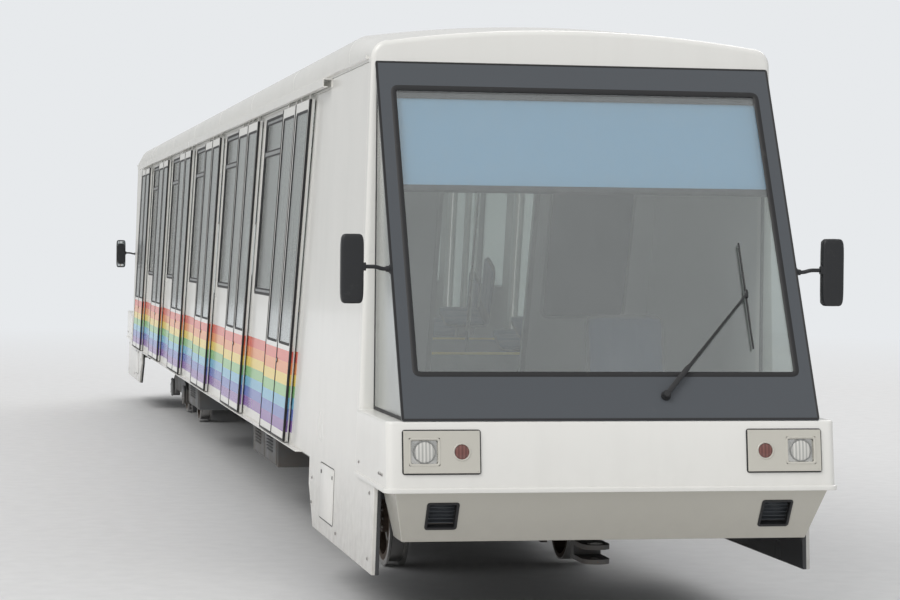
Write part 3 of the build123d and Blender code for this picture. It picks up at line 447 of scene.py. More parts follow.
FINISHES = {
    "body_paint": ("body_white", paint, {"colour": "body"}),
    # The cab sides darken most towards their foot, with road dirt and painted shade over the skirts.
    "cab_side_paint": ("body_white", paint, {
        "colour": "body", "high": 0.95, "share": 0.75, "depth": INSIDE_WALL, "under": SKIRT_INSIDE_SHADE
    }),
    "wall_paint": ("body_white", band_paint, {"depth": INSIDE_WALL}),
    "leaf_paint": ("body_white", band_paint, {"depth": INSIDE_LEAF}),
    # The chins' darker grey is painted shade under the noses.
    "chin_paint": ("chin_grey", paint, {"colour": "chin", "low": 0.5, "high": 0.8, "share": 0.35}),
    "sign_panel_blue": ("sign_blue", paint, {"colour": "sign", "roughness": 0.4, "share": 0.0}),
    "smoked_glass": ("screen_black", paint, {"colour": (0.04, 0.05, 0.05), "roughness": 0.08, "share": 0.0}),
    "lamp_bezel_plastic": ("lamp_bezel", paint, {
        "colour": (0.57, 0.55, 0.49), "roughness": 0.42, "share": 0.0
    }),
    "side_window_glass": ("glass_clear", glazing, {"tint": (0.75, 0.80, 0.78), "film": 0.17}),
    "windscreen_glass": ("glass_clear", glazing, {"tint": (0.95, 0.97, 0.96), "film": 0.155}),
    "quarter_window_glass": ("glass_clear", glazing, {"tint": (0.86, 0.89, 0.88), "film": 0.20}),
    "screen_border_black": ("screen_black", rubber, {
        "colour": (0.074, 0.082, 0.092), "roughness": 0.30, "scuffs": 0.15
    }),
    "gasket_rubber": ("screen_black", rubber, {"colour": (0.014, 0.014, 0.015), "roughness": 0.55}),
    "mirror_housing_black": ("mirror_black", rubber, {"colour": (0.016, 0.017, 0.019), "roughness": 0.45}),
    "wiper_metal_black": ("wiper_black", rubber, {"colour": (0.02, 0.02, 0.021), "roughness": 0.42}),
    "step_edge_yellow": ("floor_grey", rubber, {"colour": (0.55, 0.40, 0.05), "roughness": 0.6}),
    "button_red": ("desk_grey", rubber, {"colour": (0.42, 0.02, 0.015), "roughness": 0.35, "scuffs": 0.1}),
    "button_pale": ("desk_grey", rubber, {"colour": (0.52, 0.53, 0.50), "roughness": 0.35, "scuffs": 0.1}),
    "window_frame_metal": ("frame_alu", bare_metal, {"colour": (0.46, 0.47, 0.47), "roughness": 0.42}),
    "lamp_reflector": ("lens_clear", bare_metal, {"colour": (0.66, 0.655, 0.63), "roughness": 0.22}),
    "zinc_fittings": ("runner_grey", bare_metal, {"colour": (0.50, 0.50, 0.49), "roughness": 0.36}),
    "bright_bolts": ("steel_wheel", bare_metal, {"colour": (0.42, 0.41, 0.40), "roughness": 0.42}),
    "stainless_pole": ("pole_steel", bare_metal, {
        "colour": (0.60, 0.60, 0.59), "roughness": 0.24, "grain": (60.0, 60.0, 1.0)
    }),
    # The glow colours of the lenses are painted reflections of the lamps' reflectors.
    "lamp_glass": ("lens_clear", lens, {"colour": (0.42, 0.42, 0.40), "glow": (0.72, 0.71, 0.67)}),
    "tail_lamp_glass": ("lens_red", lens, {"colour": (0.13, 0.050, 0.042), "glow": (0.22, 0.088, 0.075)}),
    "mirror_glass": ("mirror_black", mirror_face, {}),
    "studded_floor_rubber": ("floor_grey", floor_rubber, {}),
    "desk_display": ("desk_grey", display, {}),
    "wall_laminate": ("lining_grey", laminate, {"colour": "lining"}),
    "light_diffuser": ("lining_grey", laminate, {"colour": (0.85, 0.86, 0.84), "roughness": 0.3}),
    "desk_plastic": ("desk_grey", laminate, {"colour": (0.045, 0.047, 0.05), "roughness": 0.55}),
    "desk_trim": ("desk_grey", laminate, {"colour": (0.16, 0.165, 0.17), "roughness": 0.4}),
    "seat_shell_plastic": ("seat_cloth", laminate, {"colour": (0.11, 0.115, 0.12), "roughness": 0.42}),
    "seat_cloth_weave": ("seat_cloth", seat_weave, {"colour": "seat"}),
    "chassis_paint": ("under_grey", chassis_paint, {"colour": (0.055, 0.057, 0.06)}),
    "equipment_box_paint": ("under_grey", chassis_paint, {"colour": (0.12, 0.125, 0.13)}),
    "pale_fitting_paint": ("under_grey", chassis_paint, {"colour": (0.20, 0.205, 0.21)}),
}

# The finish of each of the frame's nodes, by words that its name holds
NODE_FINISHES = (
    ("side_window_glass", "leaf_glass", "side_glass"),
    ("windscreen_glass", "windscreens"),
    ("quarter_window_glass", "quarter_glass"),
    ("window_frame_metal", "window_frames"),
    ("wall_paint", "side_wall"),
    ("leaf_paint", "leaves"),
    ("cab_side_paint", "cab_side"),
    ("body_paint", "nose", "portal", "brow", "roof", "door_runner"),
    ("chin_paint", "chin"),
    ("screen_border_black", "screen_frame"),
    ("sign_panel_blue", "sign_panels"),
    ("lamp_bezel_plastic", "lamp_housings"),
    ("lamp_glass", "head_lamps"),
    ("tail_lamp_glass", "tail_lamps"),
    ("mirror_housing_black", "mirrors"),
    ("wiper_metal_black", "wiper"),
    ("studded_floor_rubber", "stepped_floor", "cab_floors"),
    ("wall_laminate", "bulkheads"),
    ("desk_plastic", "driver_desks"),
    ("seat_shell_plastic", "seats"),
    ("stainless_pole", "grab_poles"),
    ("chassis_paint", "bogie_frame", "bolsters", "main_beams", "outer_sills"),
    ("chassis_paint", "cross_members", "rope_anchors"),
    ("equipment_box_paint", "equipment_boxes"),
)


def finish_of(name):
    """The finish of that name, made when it is first asked for. A word as its colour is one of the user's."""
    if name not in bpy.data.materials:
        _, maker, settings = FINISHES[name]
        if isinstance(settings.get("colour"), str):
            settings = {**settings, "colour": getattr(colours(), settings["colour"])}
        maker(name, **settings)
    return bpy.data.materials[name]


def node_finish(node):
    name = next((name for name, *words in NODE_FINISHES if any(word in node for word in words)), None)
    if name is None:
        raise RuntimeError(f"no finish is named for node {node}")
    return name


# Parts: arrays of points with their faces

def grid_part(points, loop=False, ring=False, caps=False):
    """Faces over rows of points. Loop joins each row's ends, ring joins the last row to the first, and caps
    fill the first and the last row."""
    rows, columns = points.shape[:2]
    numbers = np.arange(rows * columns).reshape(rows, columns)
    if loop:
        numbers = np.concatenate([numbers, numbers[:, :1]], axis=1)
    if ring:
        numbers = np.concatenate([numbers, numbers[:1]], axis=0)
    faces = np.stack([numbers[:-1, :-1], numbers[:-1, 1:], numbers[1:, 1:], numbers[1:, :-1]], -1)
    faces = faces.reshape(-1, 4).tolist()
    if caps:
        faces.append(numbers[0, :columns][::-1].tolist())
        faces.append(numbers[-1, :columns].tolist())
    return points.reshape(-1, 3), faces


def joined(parts):
    """Several parts as one."""
    points, faces, count = [], [], 0
    for part_points, part_faces in parts:
        points.append(part_points)
        faces += [[index + count for index in face] for face in part_faces]
        count += len(part_points)
    return np.concatenate(points), faces


def repeated(part, steps):
    """A part once for each step, moved by it."""
    return joined([(part[0] + np.asarray(step, float), part[1]) for step in steps])


def plane(origin, across, up, out):
    """A place as three directions and an origin."""
    return np.array([across, up, out, origin], float)


def placed(part, where):
    """A part's three coordinates taken along a place's three directions from its origin."""
    return part[0] @ where[:3] + where[3], part[1]


def on_wall(hand):
    """The outer face of a side wall: along the car, up the wall and outwards."""
    up = (-hand * sin(TUMBLE), 0, cos(TUMBLE))
    return plane((hand * WALL_FOOT, 0, 0), ALONG, up, (hand * cos(TUMBLE), 0, sin(TUMBLE)))


def on_screen(way):
    """The raked face of a windscreen's frame, from its foot's middle."""
    up = (0, -way * SCREEN_SIN, SCREEN_COS)
    out = (0, way * SCREEN_COS, SCREEN_SIN)
    return plane((0, way * (TIP - NOSE_LEAN), SCREEN_FOOT), (-way, 0, 0), up, out)


def on_nose(way):
    """The nose's leaning face, from its middle at the lamps' height."""
    set_back = NOSE_LEAN * (LAMP - NOSE_FOOT) / NOSE_TALL
    up = (0, -way * NOSE_SIN, NOSE_COS)
    return plane((0, way * (TIP - set_back), LAMP), (-way, 0, 0), up, (0, way * NOSE_COS, NOSE_SIN))


def on_chin(way):
    """The chin's face, which leans back under the nose, from its middle at the ports' height."""
    face = sqrt(CHIN_BACK**2 + CHIN_TALL**2)
    up = (0, way * CHIN_BACK / face, CHIN_TALL / face)
    out = (0, way * CHIN_TALL / face, -CHIN_BACK / face)
    set_back = 0.02 + CHIN_BACK * (CHIN_TOP - PORT) / CHIN_TALL
    return plane((0, way * (TIP - set_back), PORT), (-way, 0, 0), up, out)


def mitres(path, closed=True):
    """For each point of a path, the step to its left that keeps the sides beside it parallel."""
    path = np.asarray(path, float)
    before = path - np.roll(path, 1, axis=0)
    after = np.roll(path, -1, axis=0) - path
    if not closed:
        before[0] = after[0]
        after[-1] = before[-1]
    first = np.stack([-before[:, 1], before[:, 0]], -1) / np.linalg.norm(before, axis=1)[:, None]
    second = np.stack([-after[:, 1], after[:, 0]], -1) / np.linalg.norm(after, axis=1)[:, None]
    return (first + second) / (1 + (first * second).sum(1))[:, None]


def inward(outline):
    """The mitred steps into a closed outline, whichever way round it runs."""
    outline = np.asarray(outline, float)
    ahead = np.roll(outline, -1, axis=0)
    area = (outline[:, 0] * ahead[:, 1] - outline[:, 1] * ahead[:, 0]).sum()
    return mitres(outline) * np.sign(area)


def rounded(corners, radius, steps=4, closed=True):
    """Corners eased into parabolas that touch both sides a radius away from the corner."""
    corners = np.asarray(corners, float)
    before = np.roll(corners, 1, axis=0) - corners
    after = np.roll(corners, -1, axis=0) - corners
    start = corners + radius * before / np.linalg.norm(before, axis=1)[:, None]
    end = corners + radius * after / np.linalg.norm(after, axis=1)[:, None]
    share = np.linspace(0, 1, steps + 1)[None, :, None]
    eased = (1 - share) ** 2 * start[:, None] + share**2 * end[:, None]
    eased = eased + 2 * share * (1 - share) * corners[:, None]
    if closed:
        return eased.reshape(-1, corners.shape[1])
    return np.concatenate([corners[:1], eased[1:-1].reshape(-1, corners.shape[1]), corners[-1:]])


def oblong(width, height, radius=0.0, at=(0.0, 0.0)):
    """A rectangle's outline about a point, with rounded corners."""
    corners = np.array([(-0.5, -0.5), (0.5, -0.5), (0.5, 0.5), (-0.5, 0.5)]) * (width, height) + at
    return rounded(corners, radius) if radius else corners


def leaning(start, end, low, high):
    """Corners of a shape between two post lines, which lean back up the wall by the slope."""
    corners = ((start, low), (end, low), (end, high), (start, high))
    return np.array([(y + POST_LEAN * (BELT - height), height) for y, height in corners])


def prism(outline, low, high, edge):
    """A plate over an outline. Its edges are quarter circles: a ring at angle a is set in by edge (1 - sin a)
    and stands edge (1 - cos a) from the plate's face."""
    outline = np.asarray(outline, float)
    angle = np.linspace(0, pi / 2, 3)
    rise = edge * (1 - np.cos(angle))
    step = edge * (1 - np.sin(angle))
    heights = np.concatenate([low + rise, high - rise[::-1]])
    insets = np.concatenate([step, step[::-1]])
    flat = outline[None] + insets[:, None, None] * inward(outline)[None]
    points = np.concatenate([flat, np.broadcast_to(heights[:, None, None], flat.shape[:2] + (1,))], -1)
    return grid_part(points, loop=True, caps=True)


def moulding(path, profile, closed=True):
    """A profile of steps inwards and heights, carried round a path with mitred corners."""
    path = np.asarray(path, float)
    profile = np.asarray(profile, float)
    steps = inward(path) if closed else mitres(path, False)
    flat = path[:, None] + profile[None, :, :1] * steps[:, None]
    heights = np.broadcast_to(profile[None, :, 1:], flat.shape[:2] + (1,))
    return grid_part(np.concatenate([flat, heights], -1), loop=True, ring=closed, caps=not closed)


def turned(profile, steps):
    """A profile of radii and heights turned about the third axis: each point is at r cos a, r sin a and its
    height. One that ends where it starts makes a ring, and any other gets a face at each end."""
    profile = np.asarray(profile, float)
    is_ring = np.allclose(profile[0], profile[-1])
    if is_ring:
        profile = profile[:-1]
    radius, height = profile[:, :1], profile[:, 1:]
    angle = np.arange(steps) * 2 * pi / steps
    points = np.stack([radius * np.cos(angle), radius * np.sin(angle), height + np.zeros(steps)], -1)
    return grid_part(points, loop=True, ring=is_ring, caps=not is_ring)


def tube(path, radius, steps=10, aside=(0.0, 0.0, 1.0)):
    """A round bar: a circle square to its path at each point, between a side direction and their cross."""
    path = np.asarray(path, float)
    along = np.gradient(path, axis=0)
    along /= np.linalg.norm(along, axis=1)[:, None]
    first = np.cross(along, aside)
    first /= np.linalg.norm(first, axis=1)[:, None]
    second = np.cross(along, first)
    angle = np.arange(steps) * 2 * pi / steps
    circle = np.cos(angle)[None, :, None] * first[:, None] + np.sin(angle)[None, :, None] * second[:, None]
    return grid_part(path[:, None] + radius * circle, loop=True, caps=True)


def pebble(size, power, rows=16, columns=28):
    """A superellipsoid: the sines and cosines of its two angles keep their signs and are raised to a small
    power, so that a box with round edges comes out."""
    def shaped(value):
        return np.sign(value) * np.abs(value) ** power

    tall = np.linspace(-pi / 2, pi / 2, rows)[:, None]
    round_it = np.linspace(-pi, pi, columns, endpoint=False)[None, :]
    points = np.stack([
        shaped(np.cos(tall)) * shaped(np.cos(round_it)),
        shaped(np.cos(tall)) * shaped(np.sin(round_it)),
        shaped(np.sin(tall)) * np.ones_like(round_it),
    ], -1) * np.asarray(size, float) / 2
    return grid_part(points, loop=True, caps=True)


def bolt(radius, height):
    """A six-sided head on a washer."""
    washer = turned([(radius * 1.35, 0), (radius * 1.35, height * 0.2), (radius * 1.2, height * 0.25)], 12)
    head = turned([(radius, height * 0.2), (radius, height * 0.85), (radius * 0.85, height)], 6)
    return joined([washer, head])


def merged(name, part):
    """A mesh of a part, with its double points merged and its normals turned outwards."""
    mesh = bpy.data.meshes.new(name)
    mesh.from_pydata(part[0].tolist(), [], part[1])
    shape = bmesh.new()
    shape.from_mesh(mesh)
    bmesh.ops.remove_doubles(shape, verts=shape.verts, dist=0.00001)
    bmesh.ops.recalc_face_normals(shape, faces=shape.faces)
    shape.to_mesh(mesh)
    shape.free()
    return mesh


def points_of(mesh):
    """A mesh's points as an array of rows."""
    points = np.zeros(len(mesh.vertices) * 3)
    mesh.vertices.foreach_get("co", points)
    return points.reshape(-1, 3)


def piece(name, parts, finish_name, body="car", replaces=(), smooth=35):
    """A finished piece of several parts, whose edges stay sharp past an angle."""
    mesh = merged(name, joined(parts))
    mesh.polygons.foreach_set("use_smooth", np.ones(len(mesh.polygons), bool))
    mesh.set_sharp_from_angle(angle=radians(smooth))
    return fitted(name, mesh, finish_name, body, replaces)


def fitted(name, mesh, finish_name, body, replaces):
    """Links a mesh as a piece with its finish, its body and the nodes that it stands for."""
    thing = bpy.data.objects.new(name, mesh)
    bpy.context.scene.collection.objects.link(thing)
    mesh.materials.clear()
    mesh.materials.append(finish_of(finish_name))
    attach(thing, body)
    for node in replaces:
        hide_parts(node)
    return thing


def softened(node, edge, body="car"):
    """A copy of a node that stands for it: its triangles are merged into flat faces and its edges rounded."""
    mesh = nodes[node].data.copy()
    shape = bmesh.new()
    shape.from_mesh(mesh)
    bmesh.ops.remove_doubles(shape, verts=shape.verts, dist=0.00002)
    bmesh.ops.dissolve_limit(shape, angle_limit=radians(0.6), verts=shape.verts, edges=shape.edges)
    shape.to_mesh(mesh)
    shape.free()
    if "custom_normal" in mesh.attributes:
        mesh.attributes.remove(mesh.attributes["custom_normal"])
    mesh.polygons.foreach_set("use_smooth", np.ones(len(mesh.polygons), bool))
    thing = fitted(f"{node}_soft", mesh, node_finish(node), body, (node,))
    rounding = thing.modifiers.new("rounded edges", "BEVEL")
    rounding.width = edge
    rounding.segments = 2
    rounding.limit_method = "ANGLE"
    rounding.angle_limit = radians(28)
    rounding.harden_normals = True
    return thing


class Gathered(dict):
    """Parts by the name of the piece that they go to."""

    def add(self, name, part, where=None):
        """Puts a part at a place, or leaves it where it is."""
        self.setdefault(name, []).append(part if where is None else placed(part, where))

    def make(self, rows, body="car"):
        """Makes pieces from rows of their names, their finishes and the nodes that they stand for."""
        for name, finish_name, *replaced in rows:
            piece(name, self[name], finish_name, body, replaced)


class FUNICULAR_OT_finishes(bpy.types.Operator):
    """Gives every node of the frame its finish"""

    bl_idname = "funicular.finishes"
    bl_label = "Finish the frame"

    def execute(self, context):
        for name, node in nodes.items():
            if name.endswith("_axle"):
                low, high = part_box(name)
                material = wheel_steel(f"{name}_steel", (low[1] + high[1]) / 2, (low[2] + high[2]) / 2)
            else:
                material = finish_of(node_finish(name))
            for slot in node.material_slots:
                slot.material = material
        return {"FINISHED"}


# Shell: roof, brows, portals, noses, chins and the sides of the ends

ROOF_WALL = 0.05
EASE = 0.004  # how far skins are eased at their ends and seams
ROOF_SEAM = ((-0.007, 0.0), (-EASE, EASE), (EASE, EASE), (0.007, 0.0))
PORTAL_DEEP = 0.08
PORTAL_ROUND = 0.030
NOSE_HALF = 1.266  # half width of a nose over its side's outer face
NOSE_LONG = 1.1
NOSE_SKIN = 0.11
GUTTER = (
    (0.0, 3.268), (0.016, 3.266), (0.021, 3.272), (0.021, 3.286), (0.017, 3.287), (0.014, 3.276),
    (0.0, 3.278)
)


def wall_x(height):
    return WALL_FOOT - height * WALL_LEAN


def mirrored(half):
    """An outline from one side to the middle, carried on to the other side."""
    return np.concatenate([half, half[-2::-1] * (-1, 1)])


def upright_loop(flat, y):
    """An outline of X and Z, or of X and a height, set across the car at a Y."""
    return np.column_stack([flat[:, 0], np.full(len(flat), y), flat[:, 1]])


def roof_section(share, inset=0.0):
    """The roof's outline from the right eaves to the left: an upright, a corner's quarter circle and a crown
    whose height is its edge's plus the rise times one minus the square of the distance from the middle, as a
    share of the way to the corner. A share of 0 is a brow's low end, 1 the full roof."""
    crown, edge, corner = 3.450 + 0.095 * share, 3.370 + 0.100 * share, 0.100 + 0.030 * share
    foot = wall_x(EAVES)
    shoulder = foot - corner
    upright = np.column_stack([np.full(3, foot), np.linspace(EAVES, edge - corner, 4)[:3]])
    angle = np.linspace(0, pi / 2, 8)
    arc = np.column_stack([shoulder + corner * np.cos(angle), edge - corner + corner * np.sin(angle)])
    x = np.linspace(shoulder, 0, 12)[1:]
    rise = np.column_stack([x, edge + (crown - edge) * (1 - (x / shoulder) ** 2)])
    whole = mirrored(np.concatenate([upright, arc, rise]))
    return whole + inset * mitres(whole, False)


def roof_skin(stations):
    """A roof between its skins. Each station has a Y, a share of the full height and an inset, and they are
    taken round in a loop, out along the outer skin and back along the inner one."""
    rings = [upright_loop(roof_section(share, inset), y) for y, share, inset in stations]
    return grid_part(np.stack(rings, 1), loop=True, caps=True)


def portal_frame(way):
    """The plate round a windscreen's top and sides: a loop of sections from the outer outline round its front
    edge, a quarter circle, to the opening and back, carried from one foot over the roof to the other."""
    upright = np.column_stack([np.zeros(8), np.linspace(CHIN_TOP, EAVES, 9)[:8]])
    upright[:, 0] = wall_x(upright[:, 1])
    corner = np.linspace(0, pi / 2, 11)
    inner = mirrored(np.concatenate([
        np.column_stack([np.full(8, 1.156), np.linspace(CHIN_TOP, 3.12, 9)[:8]]),
        np.column_stack([1.126 + 0.03 * np.cos(corner), 3.14 + 0.03 * np.sin(corner)]),
        np.column_stack([np.linspace(1.126, 0, 12)[1:], np.full(11, 3.17)]),
    ]))

    def outer(depth, inset):
        section = roof_section(depth / BROW_RUN)
        whole = np.concatenate([upright, section, upright[::-1] * (-1, 1)])
        return whole + inset * mitres(whole, False)

    rings = [(outer(depth, 0), depth) for depth in (PORTAL_DEEP, PORTAL_DEEP / 2)]
    for angle in np.linspace(0, pi / 2, 6):
        depth, inset = PORTAL_ROUND * (1 - sin(angle)), PORTAL_ROUND * (1 - cos(angle))
        rings.append((outer(depth, inset), depth))
    rings += [(inner - 0.003 * mitres(inner, False), 0.0), (inner, 0.003), (inner, PORTAL_DEEP)]
    loops = [upright_loop(ring, way * (PORTAL - depth)) for ring, depth in rings]
    return grid_part(np.stack(loops, 1), loop=True, caps=True)


def nose_shell(way):
    """A nose: its section, a loop of heights and steps outwards, is carried along a path that follows a side,
    an upright corner's quarter circle and the front, which leans back by its height, to the other side."""
    top = [(SCREEN_FOOT - 0.012 * (1 - sin(a)), -0.012 * (1 - cos(a))) for a in np.linspace(0, pi / 2, 5)]
    section = [
        (CHIN_TOP, -0.04), (CHIN_TOP, 0.010), (0.8465, 0.0132), (0.850, 0.014), (0.864, 0.014),
        (0.868, 0.0128), (0.8705, 0.009), (0.8715, 0.002), (0.873, 0.0), (0.95, 0.0), (1.10, 0.0), *top,
        (SCREEN_FOOT, -NOSE_SKIN), (1.19, -NOSE_SKIN), (1.19, -0.04),
    ]
    loops = []
    for height, out in section:
        half = NOSE_HALF + out
        front = NOSE_LEAN * max(0.0, height - NOSE_FOOT) / NOSE_TALL - out
        corner = max(0.004, sizes().nose_corner + out)
        angle = np.linspace(0, pi / 2, 8)
        side = np.column_stack([np.full(4, half), np.linspace(NOSE_LONG, front + corner, 5)[:4]])
        across, ahead = half - corner, front + corner
        arc = np.column_stack([across + corner * np.cos(angle), ahead - corner * np.sin(angle)])
        middle = np.column_stack([np.linspace(half - corner, 0, 5)[1:], np.full(4, front)])
        path = mirrored(np.concatenate([side, arc, middle]))
        loops.append(np.column_stack([path[:, 0], way * (TIP - path[:, 1]), np.full(len(path), height)]))
    return grid_part(np.stack(loops, 1), loop=True, caps=True)


class FUNICULAR_OT_shell(bpy.types.Operator):
    """Makes the roof, brows, portals and noses, and softens the edges of the chins and the ends' sides"""

    bl_idname = "funicular.shell"
    bl_label = "Shell"

    def execute(self, context):
        run = PORTAL - BROW_RUN
        stations = [(-run, 1, EASE), (-run + EASE, 1, 0.0)]
        for seam in np.linspace(-run, run, 8)[1:-1]:
            stations += [(seam + step, 1, inset) for step, inset in ROOF_SEAM]
        stations += [(run - EASE, 1, 0.0), (run, 1, EASE), (run, 1, ROOF_WALL), (-run, 1, ROOF_WALL)]
        piece("roof_skin", [roof_skin(stations)], "body_paint", replaces=("roof",))
        for end, way in ENDS:
            depths = np.linspace(PORTAL_DEEP, BROW_RUN - EASE, 9)
            brow = [(way * (PORTAL - depth), depth / BROW_RUN, 0.0) for depth in depths]
            brow += [(way * run, 1, EASE), (way * run, 1, ROOF_WALL)]
            brow.append((way * (PORTAL - PORTAL_DEEP), PORTAL_DEEP / BROW_RUN, ROOF_WALL))
            piece(f"{end}_brow_skin", [roof_skin(brow)], "body_paint", replaces=(f"{end}_brow",))
            piece(f"{end}_portal_frame", [portal_frame(way)], "body_paint", replaces=(f"{end}_portal",))
            piece(f"{end}_nose_shell", [nose_shell(way)], "body_paint", replaces=(f"{end}_nose",), smooth=30)
            softened(f"{end}_chin", sizes().panel_edge)
            for name, _ in HANDS:
                softened(f"{end}_cab_side_{name}", sizes().panel_edge)
        for name, hand in HANDS:
            softened(f"door_runner_{name}", 0.0025)
            where = plane((hand * (wall_x(3.27) - 0.001), 0, 0), (hand, 0, 0), UP, ALONG)
            gutter = prism(GUTTER, -PORTAL + 0.1, PORTAL - 0.1, 0.0)
            piece(f"gutter_{name}", [placed(gutter, where)], "body_paint")
        return {"FINISHED"}


# Ends: screens, signs, grilles, bolts, lamps, mirrors and wipers

LIGHT_LOW, LIGHT_HIGH = 0.280, 2.1016  # the windscreen's clear opening, measured up its slope
LIGHT_WIDE = 2.176
FRAME_WIDE = 2.352
FRAME_DEEP = 0.045
SIGN_RAILS = ((1.462, 0.036), (2.074, 0.040))
SIGN_POST = 1.128
QUARTER_FACE = 1.168
PORT_X = 0.945
PORT_FRAME = (
    (-0.011, -0.002), (-0.011, 0.003), (-0.008, 0.005), (0.0, 0.005),
    (0.004, 0.002), (0.004, -0.030), (0.001, -0.030), (0.001, -0.002),
)
SKIRT_BOLTS = ((0.62, 0.79), (0.62, 0.42), (1.9, 0.42), (3.05, 0.66), (3.05, 0.50))
HATCH_BACK, HATCH_HEIGHT = 2.35, 0.62
HATCH_LOCK = ((0.013, 0), (0.013, 0.003), (0.004, 0.0035), (0.004, 0.002))
UNIT_X, HEAD_X, TAIL_X = 0.965, 1.060, 0.855
UNIT_SEAL = ((-0.007, -0.001), (-0.007, 0.004), (-0.003, 0.007), (0.001, 0.007), (0.001, -0.001))
HEAD_RIM = (
    (-0.004, 0.010), (-0.004, 0.0168), (0.002, 0.0185), (0.008, 0.016), (0.011, 0.006), (0.008, 0.004)
)
HEAD_RING = (
    (0.064, 0.005), (0.064, 0.012), (0.062, 0.0145), (0.058, 0.0145), (0.056, 0.010), (0.056, 0.005),
    (0.064, 0.005)
)
HEAD_DOME = (
    (0.0, 0.005), (0.0565, 0.005), (0.0565, 0.006), (0.056, 0.0105), (0.046, 0.0135), (0.028, 0.0152),
    (0.0, 0.0158)
)
TAIL_RIM = (
    (0.050, 0.014), (0.050, 0.0175), (0.047, 0.0195), (0.042, 0.0185), (0.040, 0.012), (0.040, 0.008),
    (0.050, 0.008), (0.050, 0.014),
)
TAIL_DOME = ((0.0, 0.006), (0.0405, 0.006), (0.0405, 0.0125), (0.032, 0.0165), (0.018, 0.0185), (0.0, 0.019))
LAMP_SCREW = ((0.005, 0), (0.005, 0.0015), (0.0035, 0.0022), (0.0, 0.0023))
MIRROR_X, MIRROR_BACK, MIRROR_Z = 1.394, 0.4987, 2.050
MIRROR_BEAD = ((0.0, -0.006), (0.0, 0.0035), (0.003, 0.005), (0.009, 0.0045), (0.009, -0.006))
ARM_PATH = (
    (1.170, 0.0, 0.0), (1.225, 0.0, 0.0), (1.262, 0.012, 0.012), (1.350, 0.012, 0.012),
    (1.380, 0.012, 0.012)
)
ARM_FLANGE = (
    (0.0, 0.0), (0.030, 0.0), (0.030, 0.004), (0.026, 0.008), (0.018, 0.014), (0.0165, 0.030), (0.0, 0.030)
)
WIPER_PIVOT = np.array((0.310, 0.150))
WIPER_TURN = radians(41)
WIPER_REACH = 0.82
WIPER_CAP = (
    (0.0, 0.0005), (0.028, 0.0005), (0.028, 0.006), (0.024, 0.012), (0.021, 0.026), (0.021, 0.036),
    (0.017, 0.0415), (0.008, 0.0425), (0.0, 0.0425),
)
BLADE = 0.67
BLADE_SECTION = (
    (-0.0035, 0.0075), (-0.0012, 0.0062), (0.0012, 0.0062), (0.0035, 0.0075), (0.0055, 0.0125),
    (-0.0055, 0.0125)
)


def seal(path, low, out_width, in_width, crown=0.0):
    """A rubber bead over a joint: a loop of six points, proud by its crown, along both sides of the path."""
    top = low + crown
    return moulding(path, [
        (-out_width, low - 0.003), (-out_width, low + crown * 0.5), (-out_width * 0.5, top),
        (in_width * 0.5, top), (in_width, low + crown * 0.4), (in_width, low - 0.003),
    ])


def facing(side, point):
    """A place on a face that looks to one side of the car: along it, up and outwards."""
    return plane(point, ALONG, UP, (side, 0, 0))


class FUNICULAR_OT_screens(bpy.types.Operator):
    """Softens the screens' frames and makes gaskets, the sign panels' rails and the quarter windows' trim"""

    bl_idname = "funicular.screens"
    bl_label = "Screens"

    def execute(self, context):
        kit = Gathered()
        light = oblong(LIGHT_WIDE, LIGHT_HIGH - LIGHT_LOW, 0.035, (0, (LIGHT_LOW + LIGHT_HIGH) / 2))
        rim = oblong(FRAME_WIDE, SCREEN_UP - 0.012, 0.012, (0, SCREEN_UP / 2 + 0.002))
        for end, way in ENDS:
            softened(f"{end}_screen_frame", 0.004)
            where = on_screen(way)
            kit.add("screen_gaskets", seal(light, -0.005, 0.016, 0.018, 0.008), where)
            kit.add("screen_gaskets", seal(rim, -0.004, 0.004, 0.012, 0.006), where)
            for height, deep in SIGN_RAILS:
                rail = prism(oblong(2.28, deep, 0.006, (0, height)), -0.060, -0.030, 0.003)
                kit.add("sign_rails", rail, where)
            corner_y = way * (TIP - NOSE_LEAN - FRAME_DEEP / SCREEN_COS)
            corners = np.array([
                (corner_y - way * 0.012, SCREEN_FOOT), (way * PORTAL, SCREEN_FOOT),
                (way * PORTAL, EAVES - FRAME_DEEP / SCREEN_SIN - 0.02),
            ])
            for side in SIDES:
                post = prism(oblong(0.030, 0.64, 0.006, (side * SIGN_POST, 1.765)), -0.060, -0.032, 0.003)
                kit.add("sign_rails", post, where)
                for low, crown in ((0.0, 0.003), (-0.0095, -0.004)):
                    trim = seal(corners, low, 0.003, 0.020, crown)
                    kit.add("quarter_window_trim", trim, facing(side, (side * QUARTER_FACE, 0, 0)))
        kit.make([(name, "gasket_rubber") for name in kit])
        return {"FINISHED"}


def chin_port(kit, way, side):
    """A port's frame, its back and six blades that lean in front of it."""
    where = on_chin(way)
    middle = (side * PORT_X, 0)
    kit.add("port_frames", moulding(oblong(0.158, 0.164, 0.008, middle), PORT_FRAME), where)
    kit.add("port_grilles", prism(oblong(0.156, 0.162, 0.006, middle), -0.052, -0.046, 0.001), where)
    blade = prism([(-0.008, 0.0), (0.006, 0.009), (0.008, 0.007), (-0.006, -0.002)], -0.076, 0.076, 0.001)
    for row in range(6):
        spot = where[3] + where[0] * side * PORT_X + where[1] * (-0.065 + 0.026 * row) - where[2] * 0.024
        kit.add("port_grilles", blade, plane(spot, where[2], where[1], where[0]))


def end_bolts(kit, way, side):
    """The bolts of a nose's side and of the skirt behind it."""
    spots = [(way * (TIP - back), 0.932, 0.0) for back in (0.17, 0.225, 0.28, 1.02)]
    kit.add("panel_bolts", repeated(bolt(0.0075, 0.006), spots), facing(side, (side * NOSE_HALF, 0, 0)))
    spots = [(way * (TIP - back), height, 0.0) for back, height in SKIRT_BOLTS]
    kit.add("panel_bolts", repeated(bolt(0.009, 0.006), spots), on_wall(side))


